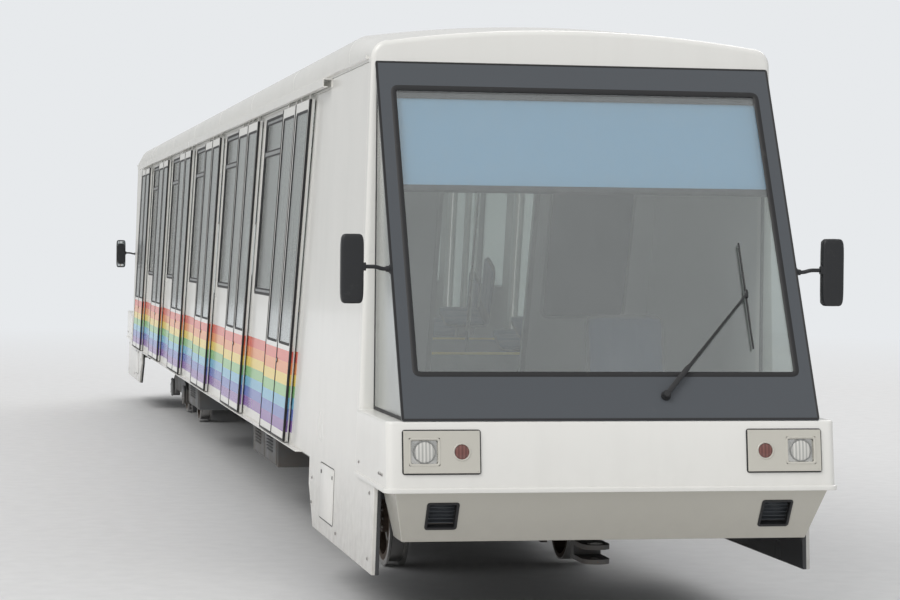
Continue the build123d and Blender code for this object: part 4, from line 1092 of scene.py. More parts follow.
def skirt_hatch(kit, way, side):
    """A service hatch: its lid, its seal and two slotted locks."""
    middle = (way * (TIP - HATCH_BACK), HATCH_HEIGHT)
    wall = on_wall(side)
    kit.add("service_hatches", prism(oblong(0.62, 0.34, 0.03, middle), -0.001, 0.0035, 0.0015), wall)
    kit.add("hatch_seals", seal(oblong(0.632, 0.352, 0.034, middle), 0.0, 0.003, 0.003, 0.0012), wall)
    locks = [(middle[0] + along, HATCH_HEIGHT + 0.12, 0.003) for along in (-0.25, 0.25)]
    kit.add("hatch_seals", repeated(turned(HATCH_LOCK, 16), locks), wall)


class FUNICULAR_OT_noses(bpy.types.Operator):
    """Makes the grilles in the chins' ports, the bolts of noses and skirts and the service hatches"""

    bl_idname = "funicular.noses"
    bl_label = "Grilles, bolts and hatches"

    def execute(self, context):
        kit = Gathered()
        for _, way in ENDS:
            for side in SIDES:
                chin_port(kit, way, side)
                end_bolts(kit, way, side)
                skirt_hatch(kit, way, side)
        kit.make((
            ("port_frames", "gasket_rubber"),
            ("port_grilles", "screen_border_black"),
            ("panel_bolts", "bright_bolts"),
            ("service_hatches", "body_paint"),
            ("hatch_seals", "gasket_rubber"),
        ))
        return {"FINISHED"}


def lamp_unit(kit, way, side):
    """A lamp unit: seal, screws, a head lamp's well, rim, ring and dome, and a tail lamp's rim and dome."""
    where = on_nose(way)
    head, tail = (side * HEAD_X, 0), (side * TAIL_X, 0)
    kit.add("lamp_seals", moulding(oblong(0.420, 0.230, 0.010, (side * UNIT_X, 0)), UNIT_SEAL), where)
    kit.add("lamp_rims", moulding(oblong(0.166, 0.146, 0.020, head), HEAD_RIM), where)
    kit.add("lamp_wells", prism(oblong(0.168, 0.148, 0.004, head), 0.0, 0.0055, 0.001), where)
    kit.add("lamp_seals", seal(oblong(0.150, 0.130, 0.016, head), 0.0075, 0.0015, 0.0025, 0.0012), where)
    for name, profile, steps, spot in (
        ("head_lamp_rings", HEAD_RING, 40, head), ("head_lamp_domes", HEAD_DOME, 40, head),
        ("lamp_rims", TAIL_RIM, 36, tail), ("tail_lamp_domes", TAIL_DOME, 36, tail),
    ):
        kit.add(name, repeated(turned(profile, steps), [(*spot, 0)]), where)
    screws = [(side * UNIT_X + x, z, 0.0155) for x in (-0.196, 0.196) for z in (-0.101, 0.101)]
    kit.add("lamp_rims", repeated(turned(LAMP_SCREW, 12), screws), where)


class FUNICULAR_OT_lamps(bpy.types.Operator):
    """Makes the lamp units: bezels, a domed head lamp in a square well and a domed tail lamp in a ring"""

    bl_idname = "funicular.lamps"
    bl_label = "Lamps"

    def execute(self, context):
        softened("lamp_housings", 0.0035)
        kit = Gathered()
        for _, way in ENDS:
            for side in SIDES:
                lamp_unit(kit, way, side)
        kit.make((
            ("lamp_seals", "gasket_rubber"),
            ("lamp_wells", "lamp_reflector"),
            ("lamp_rims", "lamp_bezel_plastic"),
            ("head_lamp_rings", "zinc_fittings"),
            ("head_lamp_domes", "lamp_glass", "head_lamps"),
            ("tail_lamp_domes", "tail_lamp_glass", "tail_lamps"),
        ))
        return {"FINISHED"}


def mirror(kit, way, side):
    """A mirror: a rounded housing, a bead round its glass, and an arm with a bolted flange and a clamp."""
    y = way * (TIP - MIRROR_BACK)
    middle = np.array((side * MIRROR_X, y, MIRROR_Z))
    kit.add("mirror_housings", repeated(pebble((0.128, 0.066, 0.388), 0.28), [middle]))
    back = plane(middle - (0, way * 0.030, 0), ACROSS, UP, (0, -way, 0))
    kit.add("mirror_housings", moulding(oblong(0.116, 0.374, 0.022), MIRROR_BEAD), back)
    kit.add("mirror_faces", prism(oblong(0.102, 0.360, 0.016), -0.004, 0.0022, 0.0008), back)
    path = [(side * x, y + way * ahead, MIRROR_Z + rise) for x, ahead, rise in ARM_PATH]
    kit.add("mirror_arms", tube(rounded(path, 0.016, 5, closed=False), 0.0115, 14))
    out = facing(side, (side * 1.174, y, MIRROR_Z))
    kit.add("mirror_arms", turned(ARM_FLANGE, 24), out)
    spots = [(0.022 * cos(a), 0.022 * sin(a), 0.006) for a in (0.6, 2.7, 4.8)]
    kit.add("mirror_arms", repeated(bolt(0.0035, 0.004), spots), out)
    clamp = facing(side, (side * 1.318, y + way * 0.012, MIRROR_Z + 0.012))
    kit.add("mirror_arms", prism(oblong(0.034, 0.046, 0.010), 0.0, 0.022, 0.002), clamp)


class FUNICULAR_OT_mirrors(bpy.types.Operator):
    """Makes the mirrors: moulded housings, silvered glass and arms clamped to the screens' frames"""

    bl_idname = "funicular.mirrors"
    bl_label = "Mirrors"

    def execute(self, context):
        kit = Gathered()
        for _, way in ENDS:
            for side in SIDES:
                mirror(kit, way, side)
        housings = kit["mirror_housings"]
        piece("mirror_housings", housings, "mirror_housing_black", replaces=("mirrors",), smooth=50)
        kit.make((("mirror_faces", "mirror_glass"), ("mirror_arms", "mirror_housing_black")))
        return {"FINISHED"}


def wiper_arm():
    """A wiper's pivot cap, its tapered arm and the coil spring beside it, on the screen's face."""
    reach = np.array((sin(WIPER_TURN), cos(WIPER_TURN)))
    aside = np.array((cos(WIPER_TURN), -sin(WIPER_TURN)))
    tip = WIPER_PIVOT + WIPER_REACH * reach
    right = [(0.20, 0.015), (0.235, 0.008)]
    outline = [WIPER_PIVOT - 0.018 * reach + side * 0.013 * aside for side in SIDES]
    outline += [WIPER_PIVOT + far * reach + half * aside for far, half in right]
    outline += [tip + 0.012 * reach + side * 0.0055 * aside for side in (1, -1)]
    outline += [WIPER_PIVOT + far * reach - half * aside for far, half in right[::-1]]
    turns = 26
    along = np.linspace(0.05, 0.19, turns * 8)[:, None]
    angle = np.linspace(0, turns * 2 * pi, turns * 8)[:, None]
    flat = WIPER_PIVOT + along * reach + 0.006 * np.cos(angle) * aside
    coil = np.concatenate([flat, 0.0205 + 0.0045 * np.sin(angle)], axis=1)
    cap = repeated(turned(WIPER_CAP, 32), [(*WIPER_PIVOT, 0)])
    return tip, [cap, prism(outline, 0.0235, 0.0375, 0.0025), tube(coil, 0.0011, 5, (*reach, 0.0))]


def wiper_blade(x, y):
    """A wiper's rubber, its bow and two claws, which sag by the square of the place along them, and feet."""
    foot = plane((x, y - BLADE / 2, 0.0), ACROSS, UP, ALONG)
    parts = [placed(prism(BLADE_SECTION, 0.0, BLADE, 0.0005), foot)]
    for middle, half, top, sag, thick, steps in (
        (0.0, 0.24, 0.0235, 0.007, 0.0035, 25), (-0.20, 0.10, 0.0185, 0.005, 0.0028, 13),
        (0.20, 0.10, 0.0185, 0.005, 0.0028, 13),
    ):
        share = np.linspace(-1, 1, steps)
        bow = np.column_stack([np.full(steps, x), y + middle + half * share, top - sag * share**2])
        parts.append(tube(bow, thick, 8, ACROSS))
        for end in (-half, half) if middle else ():
            parts.append(prism(oblong(0.011, 0.010, 0.002, (x, y + middle + end)), 0.0115, 0.0165, 0.001))
    parts.append(prism(oblong(0.014, 0.050, 0.004, (x, y)), 0.0205, 0.0378, 0.002))
    return parts


class FUNICULAR_OT_wipers(bpy.types.Operator):
    """Makes the wipers: a capped pivot, a tapered arm with its spring, and a blade held by a bow and claws"""

    bl_idname = "funicular.wipers"
    bl_label = "Wipers"

    def execute(self, context):
        tip, arm = wiper_arm()
        wiper = arm + wiper_blade(*tip)
        for end, way in ENDS:
            body = f"{end}_wiper"
            parts = [placed(part, on_screen(way)) for part in wiper]
            piece(f"{body}_assembly", parts, "wiper_metal_black", body, replaces=(body,))
        return {"FINISHED"}


# Sides: doors and windows

LEAF_LOW, LEAF_HIGH = 0.796, 3.159
BUTTON_HEIGHT = 1.35
BUTTON_RIM = (
    (0.0, 0.0), (0.019, 0.0), (0.019, 0.003), (0.016, 0.006), (0.0125, 0.006), (0.0125, 0.003), (0.0, 0.003)
)
BUTTON = ((0.0, 0.002), (0.0118, 0.002), (0.0118, 0.006), (0.010, 0.0075), (0.0, 0.008))
PANES = ((1.835, 2.870), (2.905, 3.115))  # heights of the large panes and of the opening lights over them
CATCH_HEIGHT = 2.93


def leaf_fittings(kit, body, start, is_first):
    """What a leaf carries: a wide seal round its free edge, a thin one where it meets the other leaf, one
    along its foot and one round its glass, and on a pair's first leaf the push button."""
    end = start + LEAF
    free, meeting, outward = (start, end, -1) if is_first else (end, start, 1)
    wide = sizes().leaf_seal
    cover = sorted((free - outward * wide, free + outward * 0.006))
    lap = sorted((meeting + outward * wide, meeting + outward * 0.0004))
    for lines, low, high, sunk, proud, edge in (
        (cover, LEAF_LOW, LEAF_HIGH, 0.015, 0.003, 0.003),
        (lap, LEAF_LOW, LEAF_HIGH, 0.004, 0.002, 0.0015),
        ((start + 0.02, end - 0.02), 0.797, 0.812, 0.003, 0.002, 0.001),
    ):
        strip = prism(leaning(*lines, low, high), LEAF_FACE - sunk, LEAF_FACE + proud, edge)
        kit.add(f"{body}_rubber", strip)
    light = rounded(leaning(start + 0.064, end - 0.064, 1.48, 3.09), 0.022)
    kit.add(f"{body}_glass_seals", seal(light, LEAF_FACE - 0.001, 0.006, 0.012, 0.002))
    if is_first:
        y = meeting - 0.047 + POST_LEAN * (BELT - BUTTON_HEIGHT)
        rim = repeated(turned(BUTTON_RIM, 28), [(y, BUTTON_HEIGHT, LEAF_FACE - 0.0005)])
        kit.add(f"{body}_glass_seals", rim)
        kit.add(f"{body}_buttons", repeated(turned(BUTTON, 24), [(y, BUTTON_HEIGHT, LEAF_FACE)]))


class FUNICULAR_OT_doors(bpy.types.Operator):
    """Softens the leaves' edges and makes their rubber edges, glazing seals and push buttons"""

    bl_idname = "funicular.doors"
    bl_label = "Door leaves"

    def execute(self, context):
        for name, hand in HANDS:
            for leaves, shift in (("uphill", 0.0), ("downhill", SECOND_LEAF)):
                body = f"{leaves}_leaves_{name}"
                softened(body, 0.0025, body)
                kit = Gathered()
                for number in range(BAYS):
                    leaf_fittings(kit, body, FIRST_DOOR + number * BAY + shift, leaves == "uphill")
                for group, finish_name in (
                    ("rubber", "gasket_rubber"), ("glass_seals", "gasket_rubber"), ("buttons", "button_pale")
                ):
                    if f"{body}_{group}" in kit:
                        parts = [placed(part, on_wall(hand)) for part in kit[f"{body}_{group}"]]
                        piece(f"{body}_{group}", parts, finish_name, body)
        return {"FINISHED"}


class FUNICULAR_OT_windows(bpy.types.Operator):
    """Softens the window frames and makes their outer gaskets, pane beads and the opening lights' catches"""

    bl_idname = "funicular.windows"
    bl_label = "Side windows"

    def execute(self, context):
        for name, hand in HANDS:
            softened(f"window_frames_{name}", 0.002)
            wall = on_wall(hand)
            kit = Gathered()
            for number in range(BAYS - 1):
                start = FIRST_DOOR + number * BAY + WINDOW_START
                end = start + WINDOW
                opening = rounded(leaning(start, end, 1.80, 3.15), 0.020)
                kit.add(f"window_gaskets_{name}", seal(opening, -0.002, 0.009, 0.012, 0.004), wall)
                for low, high in PANES:
                    pane = rounded(leaning(start + 0.035, end - 0.035, low, high), 0.012)
                    kit.add(f"window_gaskets_{name}", seal(pane, -0.006, 0.005, 0.008, 0.0035), wall)
                for share in (0.25, 0.75):
                    y = start + share * WINDOW + POST_LEAN * (BELT - CATCH_HEIGHT)
                    catch = oblong(0.070, 0.020, 0.005, (y, CATCH_HEIGHT - 0.005))
                    kit.add(f"vent_catches_{name}", prism(catch, -0.030, -0.016, 0.003), wall)
            kit.make(((f"window_gaskets_{name}", "gasket_rubber"), (f"vent_catches_{name}", "zinc_fittings")))
        return {"FINISHED"}


# Below the floor

AXLE_COVER = (
    (0.0, 0.007), (0.088, 0.007), (0.088, 0.0), (0.118, 0.0), (0.118, 0.014), (0.112, 0.018),
    (0.085, 0.020), (0.060, 0.027), (0.030, 0.029), (0.0, 0.029),
)
BRAKE_CAN = (
    (0.0, 0.0), (0.062, 0.0), (0.062, 0.006), (0.050, 0.012), (0.050, 0.040), (0.044, 0.046), (0.0, 0.046)
)
SPRING_PLATE = ((0.0, -0.0035), (0.096, -0.0035), (0.098, 0.0), (0.096, 0.0035), (0.0, 0.0035))
WHEEL_RIB = (
    (0.168, -0.002), (0.168, 0.005), (0.176, 0.008), (0.184, 0.005), (0.184, -0.002), (0.168, -0.002)
)
HUB_FACES = ((-0.710, -1), (-0.560, 1), (0.743, 1), (0.527, -1))
DISC_FACES = ((-0.651, -1), (-0.619, 1), (0.651, 1), (0.619, -1))
BRAKE_PIPE = ((-0.78, 0.36), (-0.62, 0.47), (-0.30, 0.47), (0.30, 0.47), (0.62, 0.47), (0.78, 0.36))
ANCHOR_BUSH = ((0.0285, 0.0), (0.046, 0.0), (0.046, 0.006), (0.0285, 0.006), (0.0285, 0.0))
LOUVRE = ((0.0, 0.0), (0.014, 0.004), (0.016, 0.007), (0.0, 0.014))
BOX_FACE, BOX_HEIGHT = 1.08, 0.6025

# The boxes' side, place and length as shares of BOGIE, and the pipes' place across the car and radius
BOXES = ((-1, -0.60, 0.24), (-1, 0.36, 0.18), (1, -0.40, 0.28), (1, 0.43, 0.21))
PIPES = ((-0.17, 0.021), (-0.10, 0.014), (0.14, 0.017), (0.22, 0.026))
PIPE_HEIGHT = 0.735


def bolt_circle(radius, count, height, first=0.0):
    return [(radius * cos(a), radius * sin(a), height) for a in np.arange(count) * 2 * pi / count + first]


def bogie_side(kit, body, centre, side):
    """One side of a bogie: its axle covers, brake jaws and cans, spring plates and brake pipe with clips."""
    for along in SIDES:
        box = facing(side, (side * 0.885, centre + along * WHEELBASE / 2, AXLE))
        kit.add(f"{body}_axle_covers", turned(AXLE_COVER, 40), box)
        kit.add(f"{body}_bolts", repeated(bolt(0.009, 0.011), bolt_circle(0.101, 6, 0.016, 0.3)), box)
        jaw_y = centre + along * 0.24
        for jaw in SIDES:
            out = facing(jaw, (side * WHEEL + jaw * 0.0725 + jaw * 0.0225, jaw_y, 0.0))
            heads = [(y, z, 0.0) for y in (-0.05, 0.05) for z in (0.14, 0.24)]
            kit.add(f"{body}_bolts", repeated(bolt(0.011, 0.012), heads), out)
        top = plane((side * WHEEL, jaw_y, 0.540), ACROSS, ALONG, UP)
        kit.add(f"{body}_axle_covers", turned(BRAKE_CAN, 32), top)
    plates = [(side * 0.84, centre, level) for level in (0.566, 0.580, 0.594)]
    kit.add(f"{body}_plates_and_pipes", repeated(turned(SPRING_PLATE, 40), plates))
    pipe = rounded([(side * 0.795, centre + y, z) for y, z in BRAKE_PIPE], 0.05, 5, closed=False)
    kit.add(f"{body}_plates_and_pipes", tube(pipe, 0.009, 10, ACROSS))
    for along in (-0.5, -0.25, 0.25, 0.5):
        clip = prism(oblong(0.026, 0.034, 0.006, (side * 0.799, centre + along)), 0.456, 0.484, 0.003)
        kit.add(f"{body}_plates_and_pipes", clip)


class FUNICULAR_OT_bogies(bpy.types.Operator):
    """Softens the bogies' frames and makes axle covers, spring plates, brake gear, pipes and wheel bolts"""

    bl_idname = "funicular.bogies"
    bl_label = "Bogies"

    def execute(self, context):
        for end, way in ENDS:
            body, centre = f"{end}_bogie", way * BOGIE
            softened(f"{body}_frame", 0.004, body)
            kit = Gathered()
            for side in SIDES:
                bogie_side(kit, body, centre, side)
            kit.make((
                (f"{body}_axle_covers", "pale_fitting_paint"),
                (f"{body}_plates_and_pipes", "bright_bolts"),
                (f"{body}_bolts", "bright_bolts"),
            ), body)
            for number, along in (("first", -1), ("second", 1)):
                axle, y = f"{end}_{number}_axle", centre + along * WHEELBASE / 2
                heads = repeated(bolt(0.008, 0.011), bolt_circle(0.082, 8, -0.001))
                parts = [placed(heads, facing(out, (x, y, AXLE))) for x, out in HUB_FACES]
                parts += [placed(turned(WHEEL_RIB, 48), facing(out, (x, y, AXLE))) for x, out in DISC_FACES]
                piece(f"{axle}_bolts", parts, "bright_bolts", axle)
        return {"FINISHED"}


def box_fittings(kit, side, middle, long):
    """An equipment box's lids with seals, louvres and latches, and the straps under it."""
    face = facing(side, (side * BOX_FACE, middle, BOX_HEIGHT))
    count = 2 if long > 1.4 else 1
    wide = (long - 0.06 - 0.03 * (count - 1)) / count
    louvre = prism(LOUVRE, -wide * 0.22, wide * 0.22, 0.001)
    for number in range(count):
        at = -long / 2 + 0.03 + wide / 2 + number * (wide + 0.03)
        kit.add("box_lids", prism(oblong(wide, 0.325, 0.02, (at, 0)), -0.001, 0.007, 0.003), face)
        joint = oblong(wide + 0.006, 0.331, 0.022, (at, 0))
        kit.add("box_lid_seals", seal(joint, 0.0, 0.004, 0.004, 0.002), face)
        for row in range(5):
            spot = (side * (BOX_FACE + 0.0065), middle + at, 0.52 + 0.026 * row)
            kit.add("box_lids", louvre, plane(spot, (side, 0, 0), UP, ALONG))
        for place in (-0.36, 0.36):
            handle = prism(oblong(0.030, 0.062, 0.010, (at + place * wide, 0.11)), 0.006, 0.013, 0.003)
            kit.add("box_latches", handle, face)
    under = plane((side * 0.82, middle, 0.42), ALONG, ACROSS, (0, 0, -1))
    for end in SIDES:
        strap = prism(oblong(0.05, 0.50, 0.01, (end * (long / 2 - 0.18), 0)), 0.0, 0.008, 0.003)
        kit.add("box_latches", strap, under)


class FUNICULAR_OT_underframe(bpy.types.Operator):
    """Softens the beams, boxes and anchors and makes the boxes' lids, louvres and latches and the pipes"""

    bl_idname = "funicular.underframe"
    bl_label = "Underframe"

    def execute(self, context):
        for node, edge in (
            ("main_beams", 0.004), ("cross_members", 0.004), ("bolsters", 0.004), ("rope_anchors", 0.004),
            ("outer_sills", 0.003), ("equipment_boxes", 0.008),
        ):
            softened(node, edge)
        kit = Gathered()
        for side, share, length in BOXES:
            box_fittings(kit, side, share * BOGIE, length * BOGIE)
        for x, radius in PIPES:
            kit.add("pipe_runs", tube([(x, -10.6, PIPE_HEIGHT), (x, 10.6, PIPE_HEIGHT)], radius, 14))
            for y in np.linspace(-10.9, 10.9, 14)[1:-1]:
                low = PIPE_HEIGHT - radius - 0.004
                clip = oblong(radius * 2 + 0.014, 0.03, 0.004, (x, y))
                kit.add("pipe_clips", prism(clip, low, 0.786, 0.003))
        kit.make((
            ("box_lids", "equipment_box_paint"),
            ("box_lid_seals", "gasket_rubber"),
            ("box_latches", "pale_fitting_paint"),
            ("pipe_runs", "pale_fitting_paint"),
            ("pipe_clips", "chassis_paint"),
        ))
        for end, way in ENDS:
            where = plane((0, way * 11.30, 0.510), ACROSS, ALONG, UP)
            piece(f"{end}_anchor_bush", [placed(turned(ANCHOR_BUSH, 36), where)], "bright_bolts")
        return {"FINISHED"}


# Inside: steps, seats, poles, lights and the cabs

FLOOR = 0.9  # height of the uphill platform at its bay's first post
STEPS = 5  # treads of a flight between two platforms
TREAD_LIP = (
    (-0.045, -0.001), (-0.045, 0.002), (-0.002, 0.0035), (0.003, 0.001), (0.0035, -0.028), (0.0, -0.030),
    (-0.001, -0.001),
)
FILLING_STEPS = 20
SEAM_WIDTH, SEAM_DEPTH = 0.055, 0.008  # a sewn channel's width, as a share of half the pad, and its depth
WELT_RADIUS = 0.0035
BASE_PAD, BACK_PAD = (0.365, 0.056), (0.430, 0.042)  # a pad's length along the shell and its thickness
PAD_INSET = 0.03  # how much narrower a pad is than its seat
BASE_OUT, BASE_UP = 0.256, 0.386  # the base pad's middle from the seat's rear and from the floor
BACK_OUT, BACK_UP, BACK_RISE = 0.047, 0.665, 0.235  # the back pad's, and its height over the shell's bend
FOOT_OUT = 0.225
SHELL_WALL = 0.008
SHELL_FRONT, SHELL_BEND, SHELL_HEAD = (0.436, 0.352), (0.040, 0.344), (0.012, 0.892)  # out and up
SEAT_BACK = 0.46  # height of a seat's back over its cushion's rear edge
PASSENGER_SEAT = (0.44, 0.0)  # its width, and how far its back leans for each metre of height
DRIVER_SEAT = (0.50, 0.16)
DRIVER_X, DRIVER_INWARDS, CAB_FLOOR = 0.45, 1.555, 0.88  # a driver's seat's place from the nose's tip
ELBOW, WALL_GAP = 0.9, 0.075  # a passenger seat's rear is that far from the wall at that height
POLE_X = 0.72
POLE_FLANGE = (
    (0.0175, -0.002), (0.038, -0.002), (0.038, 0.003), (0.034, 0.006), (0.022, 0.010), (0.0195, 0.030),
    (0.0175, 0.030), (0.0175, -0.002),
)
LIGHTS = 10
LIGHT_RIM = ((-0.006, 0.0), (-0.006, 0.010), (0.0, 0.012), (0.002, 0.0))
BULKHEAD_GAP, BULKHEAD_THICK = 0.15, 0.04
DOOR_FRAME = ((-0.034, -0.002), (-0.034, 0.007), (-0.028, 0.010), (0.0, 0.010), (0.0, -0.002))
KICK_STRIP = ((-0.05, 0.874), (0.035, 0.874), (0.035, 0.975), (-0.037, 0.975))
DESK_SLOPE = radians(15.3)
DIAL_RIM = (
    (0.048, 0.0), (0.048, 0.007), (0.045, 0.009), (0.041, 0.007), (0.040, 0.002), (0.040, 0.0), (0.048, 0.0)
)
DIAL_FACE = ((0.0, 0.0), (0.0405, 0.0), (0.0405, 0.003), (0.0, 0.003))
DIAL_MARK = ((-0.0008, 0.030), (0.0008, 0.030), (0.0008, 0.037), (-0.0008, 0.037))
NEEDLE = ((-0.010, -0.0016), (0.030, -0.0006), (0.030, 0.0006), (-0.010, 0.0016))
PUSH_BUTTON = (
    (0.0, 0.0), (0.011, 0.0), (0.011, 0.004), (0.009, 0.005), (0.009, 0.009), (0.007, 0.011), (0.0, 0.0115)
)
STOP_BUTTON = (
    (0.0, 0.0), (0.020, 0.0), (0.020, 0.006), (0.013, 0.008), (0.013, 0.020), (0.026, 0.024), (0.026, 0.030),
    (0.018, 0.036), (0.0, 0.038),
)
GAITER = (
    (0.0, 0.0), (0.036, 0.0), (0.036, 0.004), (0.030, 0.010), (0.026, 0.012), (0.024, 0.020), (0.018, 0.022),
    (0.015, 0.032), (0.0, 0.032),
)


def platform_point(start, post):
    """Where a bay's level platform meets the post line that is some way down the bay."""
    z = FLOOR + POST_LEAN * post / (1 + POST_LEAN**2)
    return start + post + POST_LEAN * (BELT - z), z


def tread_edges():
    """The upper edges of every flight's treads: their Y, their Z, their number in the flight, which is -1 for
    the platform's own, and the treads' depth."""
    edges = []
    for number in range(BAYS - 1):
        start = FIRST_DOOR + number * BAY
        y, z = platform_point(start, DOOR)
        foot_y, foot_z = platform_point(start + BAY, 0)
        rise = (z - foot_z + POST_LEAN * (foot_y - y)) / (1 + POST_LEAN**2) / (STEPS + 1)
        tread = (foot_y - y - (STEPS + 1) * POST_LEAN * rise) / STEPS
        edges.append((y, z, -1, tread))
        for step in range(STEPS):
            y += POST_LEAN * rise + tread
            z += POST_LEAN * tread - rise
            edges.append((y, z, step, tread))
    return edges


def pad_form(size, pull=0.04):
    """A pad before it is filled: two sheets over a grid that crowds towards its edges, with heights that grow
    as the root of one minus the eighth powers of the two places, and sides that pull in between rounded
    corners."""
    across = np.sin(np.linspace(-pi / 2, pi / 2, 41))
    along = np.sin(np.linspace(-pi / 2, pi / 2, 23))
    u, v = np.meshgrid(across, along, indexing="ij")
    corner = 1 - 0.055 * (u * v) ** 6
    x = u * corner * (1 - pull * (1 - v**2)) * size[0] / 2
    y = v * corner * (1 - pull * (1 - u**2)) * size[1] / 2
    z = np.sqrt(np.clip((1 - u**8) * (1 - v**8), 0, 1)) * size[2] / 2
    upper = np.stack([x, y, z], -1)
    lower = np.stack([x, y, -z], -1)[:, ::-1]
    return joined([grid_part(upper), grid_part(lower)])


def swollen(form, cap=0.007):
    """The pad's points after air has filled it: its upper sheet is cloth under pressure for twenty steps, its
    lower one is held, and no point goes further than the cap."""
    scene = bpy.context.scene
    mesh = merged("pad_form", form)
    thing = bpy.data.objects.new("pad_form", mesh)
    scene.collection.objects.link(thing)
    rest = points_of(mesh)
    held = thing.vertex_groups.new(name="held")
    held.add(np.flatnonzero(rest[:, 2] < -0.006).tolist(), 1.0, "REPLACE")
    cloth = thing.modifiers.new("Filling", "CLOTH").settings
    cloth.vertex_group_mass = "held"
    cloth.use_pressure = True
    cloth.uniform_pressure_force = 4.0
    cloth.effector_weights.gravity = 0.0
    for step in range(1, FILLING_STEPS + 1):
        scene.frame_set(step)
    moved = points_of(thing.evaluated_get(bpy.context.evaluated_depsgraph_get()).to_mesh()) - rest
    far = np.linalg.norm(moved, axis=1, keepdims=True)
    faces = [tuple(face.vertices) for face in mesh.polygons]
    bpy.data.objects.remove(thing)
    scene.frame_set(1)
    return rest + moved * np.minimum(1.0, cap / np.maximum(far, 1e-9)), faces


def cushion(size, seams=(-0.34, 0.34)):
    """A filled pad with two sewn channels, each sunk in a bell curve across it, and the welt round it."""
    points, faces = swollen(pad_form(size))
    sunk = sum(np.exp(-(((points[:, 0] / size[0] * 2 - at) / SEAM_WIDTH) ** 2)) for at in seams)
    points[:, 2] -= np.where(points[:, 2] > size[2] * 0.2, SEAM_DEPTH * sunk, 0.0)
    turn = np.linspace(-pi, pi, 64, endpoint=False)
    edge = points[np.abs(points[:, 2]) < 0.004]
    angle = np.arctan2(edge[:, 1] / size[1], edge[:, 0] / size[0])
    order = np.argsort(angle)
    outline = [np.interp(turn, angle[order], edge[order, axis], period=2 * pi) for axis in (0, 1)]
    round_it = np.linspace(0, 2 * pi, 6, endpoint=False)
    welt = WELT_RADIUS * np.column_stack([np.cos(round_it), np.sin(round_it)])
    return joined([(points, faces), moulding(np.column_stack(outline), welt)])


def seat_shell(half, recline, radius=0.07, curl=0.014):
    """A seat's moulded shell: a sheet along a line that turns up from the cushion into the back. Its half
    width shrinks at both ends by a quarter circle. Its sides curl up by the sixth power of the place."""
    corners = [SHELL_FRONT, SHELL_BEND, (SHELL_HEAD[0] - recline * SEAT_BACK, SHELL_HEAD[1])]
    line = rounded(corners, 0.07, 7, closed=False)
    far = np.concatenate([[0], np.cumsum(np.linalg.norm(np.diff(line, axis=0), axis=1))])
    along = far[-1] / 2 * (1 + np.sin(np.linspace(-pi / 2, pi / 2, 42)))
    line = np.column_stack([np.interp(along, far, line[:, axis]) for axis in (0, 1)])
    to_end = np.minimum(along, far[-1] - along)
    reach = half - radius + np.sqrt(radius**2 - np.clip(radius - to_end, 0, radius) ** 2)
    across = np.sin(np.linspace(-pi / 2, pi / 2, 19))
    inwards = np.column_stack([-np.gradient(line[:, 1]), np.gradient(line[:, 0])])
    inwards /= -np.linalg.norm(inwards, axis=1, keepdims=True)
    flat = line[:, None, :] + curl * inwards[:, None, :] * (across**6)[None, :, None]
    return grid_part(np.concatenate([flat, (reach[:, None] * across)[..., None]], axis=-1))


def seat_parts(where, wide, recline):
    """A seat's shell, the places of its two pads and its foot, at a place whose directions run from its back
    to its front, up and across. The back leans away by a share of the height over the cushion."""
    across, up, out, origin = where
    back_up = up - recline * across
    base_place = plane(origin + BASE_OUT * across + BASE_UP * up, out, across, up)
    back = origin + BACK_OUT * across + BACK_UP * up - recline * BACK_RISE * across
    back_place = plane(back, out, back_up, across)
    foot_place = plane(origin + FOOT_OUT * across, across, out, up)
    heads = [(x, y, 0.010) for x in (-0.082, 0.082) for y in (-0.078, 0.078)]
    foot = joined([
        prism(oblong(0.15, 0.13, 0.02), 0.006, 0.352, 0.004),
        prism(oblong(0.196, 0.190, 0.02), 0.0, 0.010, 0.003),
        repeated(bolt(0.007, 0.007), heads),
    ])
    shell = placed(seat_shell(wide / 2 - 0.004, recline), where)
    return shell, (base_place, back_place), placed(foot, foot_place)


def pad_piece(name, pad, node):
    """A pad as a padded piece, with a cloth map of metres along the level and round the seat."""
    thing = piece(name, [pad], "seat_cloth_weave", replaces=(node,), smooth=60)
    mesh = thing.data
    points = points_of(mesh)
    flat = np.column_stack([points @ LEVEL, np.abs(points[:, 0]) + points @ PLUMB])
    corner = np.zeros(len(mesh.loops), int)
    mesh.loops.foreach_get("vertex_index", corner)
    mesh.uv_layers.new(name="cloth").data.foreach_set("uv", flat[corner].ravel())


def seats(kind, places, wide, recline):
    """All seats of a kind: one piece for their shells, one for their feet and one for each pad."""
    pads = [cushion((wide - PAD_INSET, *size)) for size in (BASE_PAD, BACK_PAD)]
    shells, feet = [], []
    for number, where in enumerate(places, 1):
        shell, pad_places, foot = seat_parts(where, wide, recline)
        shells.append(shell)
        feet.append(foot)
        for part, pad, spot in zip(("base", "back"), pads, pad_places):
            pad_piece(f"{kind}_seat_{number}_{part}", placed(pad, spot), f"{kind}_seats")
    shell = piece(f"{kind}_seat_shells", shells, "seat_shell_plastic", smooth=60)
    wall = shell.modifiers.new("Thickness", "SOLIDIFY")
    wall.thickness = SHELL_WALL
    wall.offset = 0.0
    piece(f"{kind}_seat_feet", feet, "pale_fitting_paint")


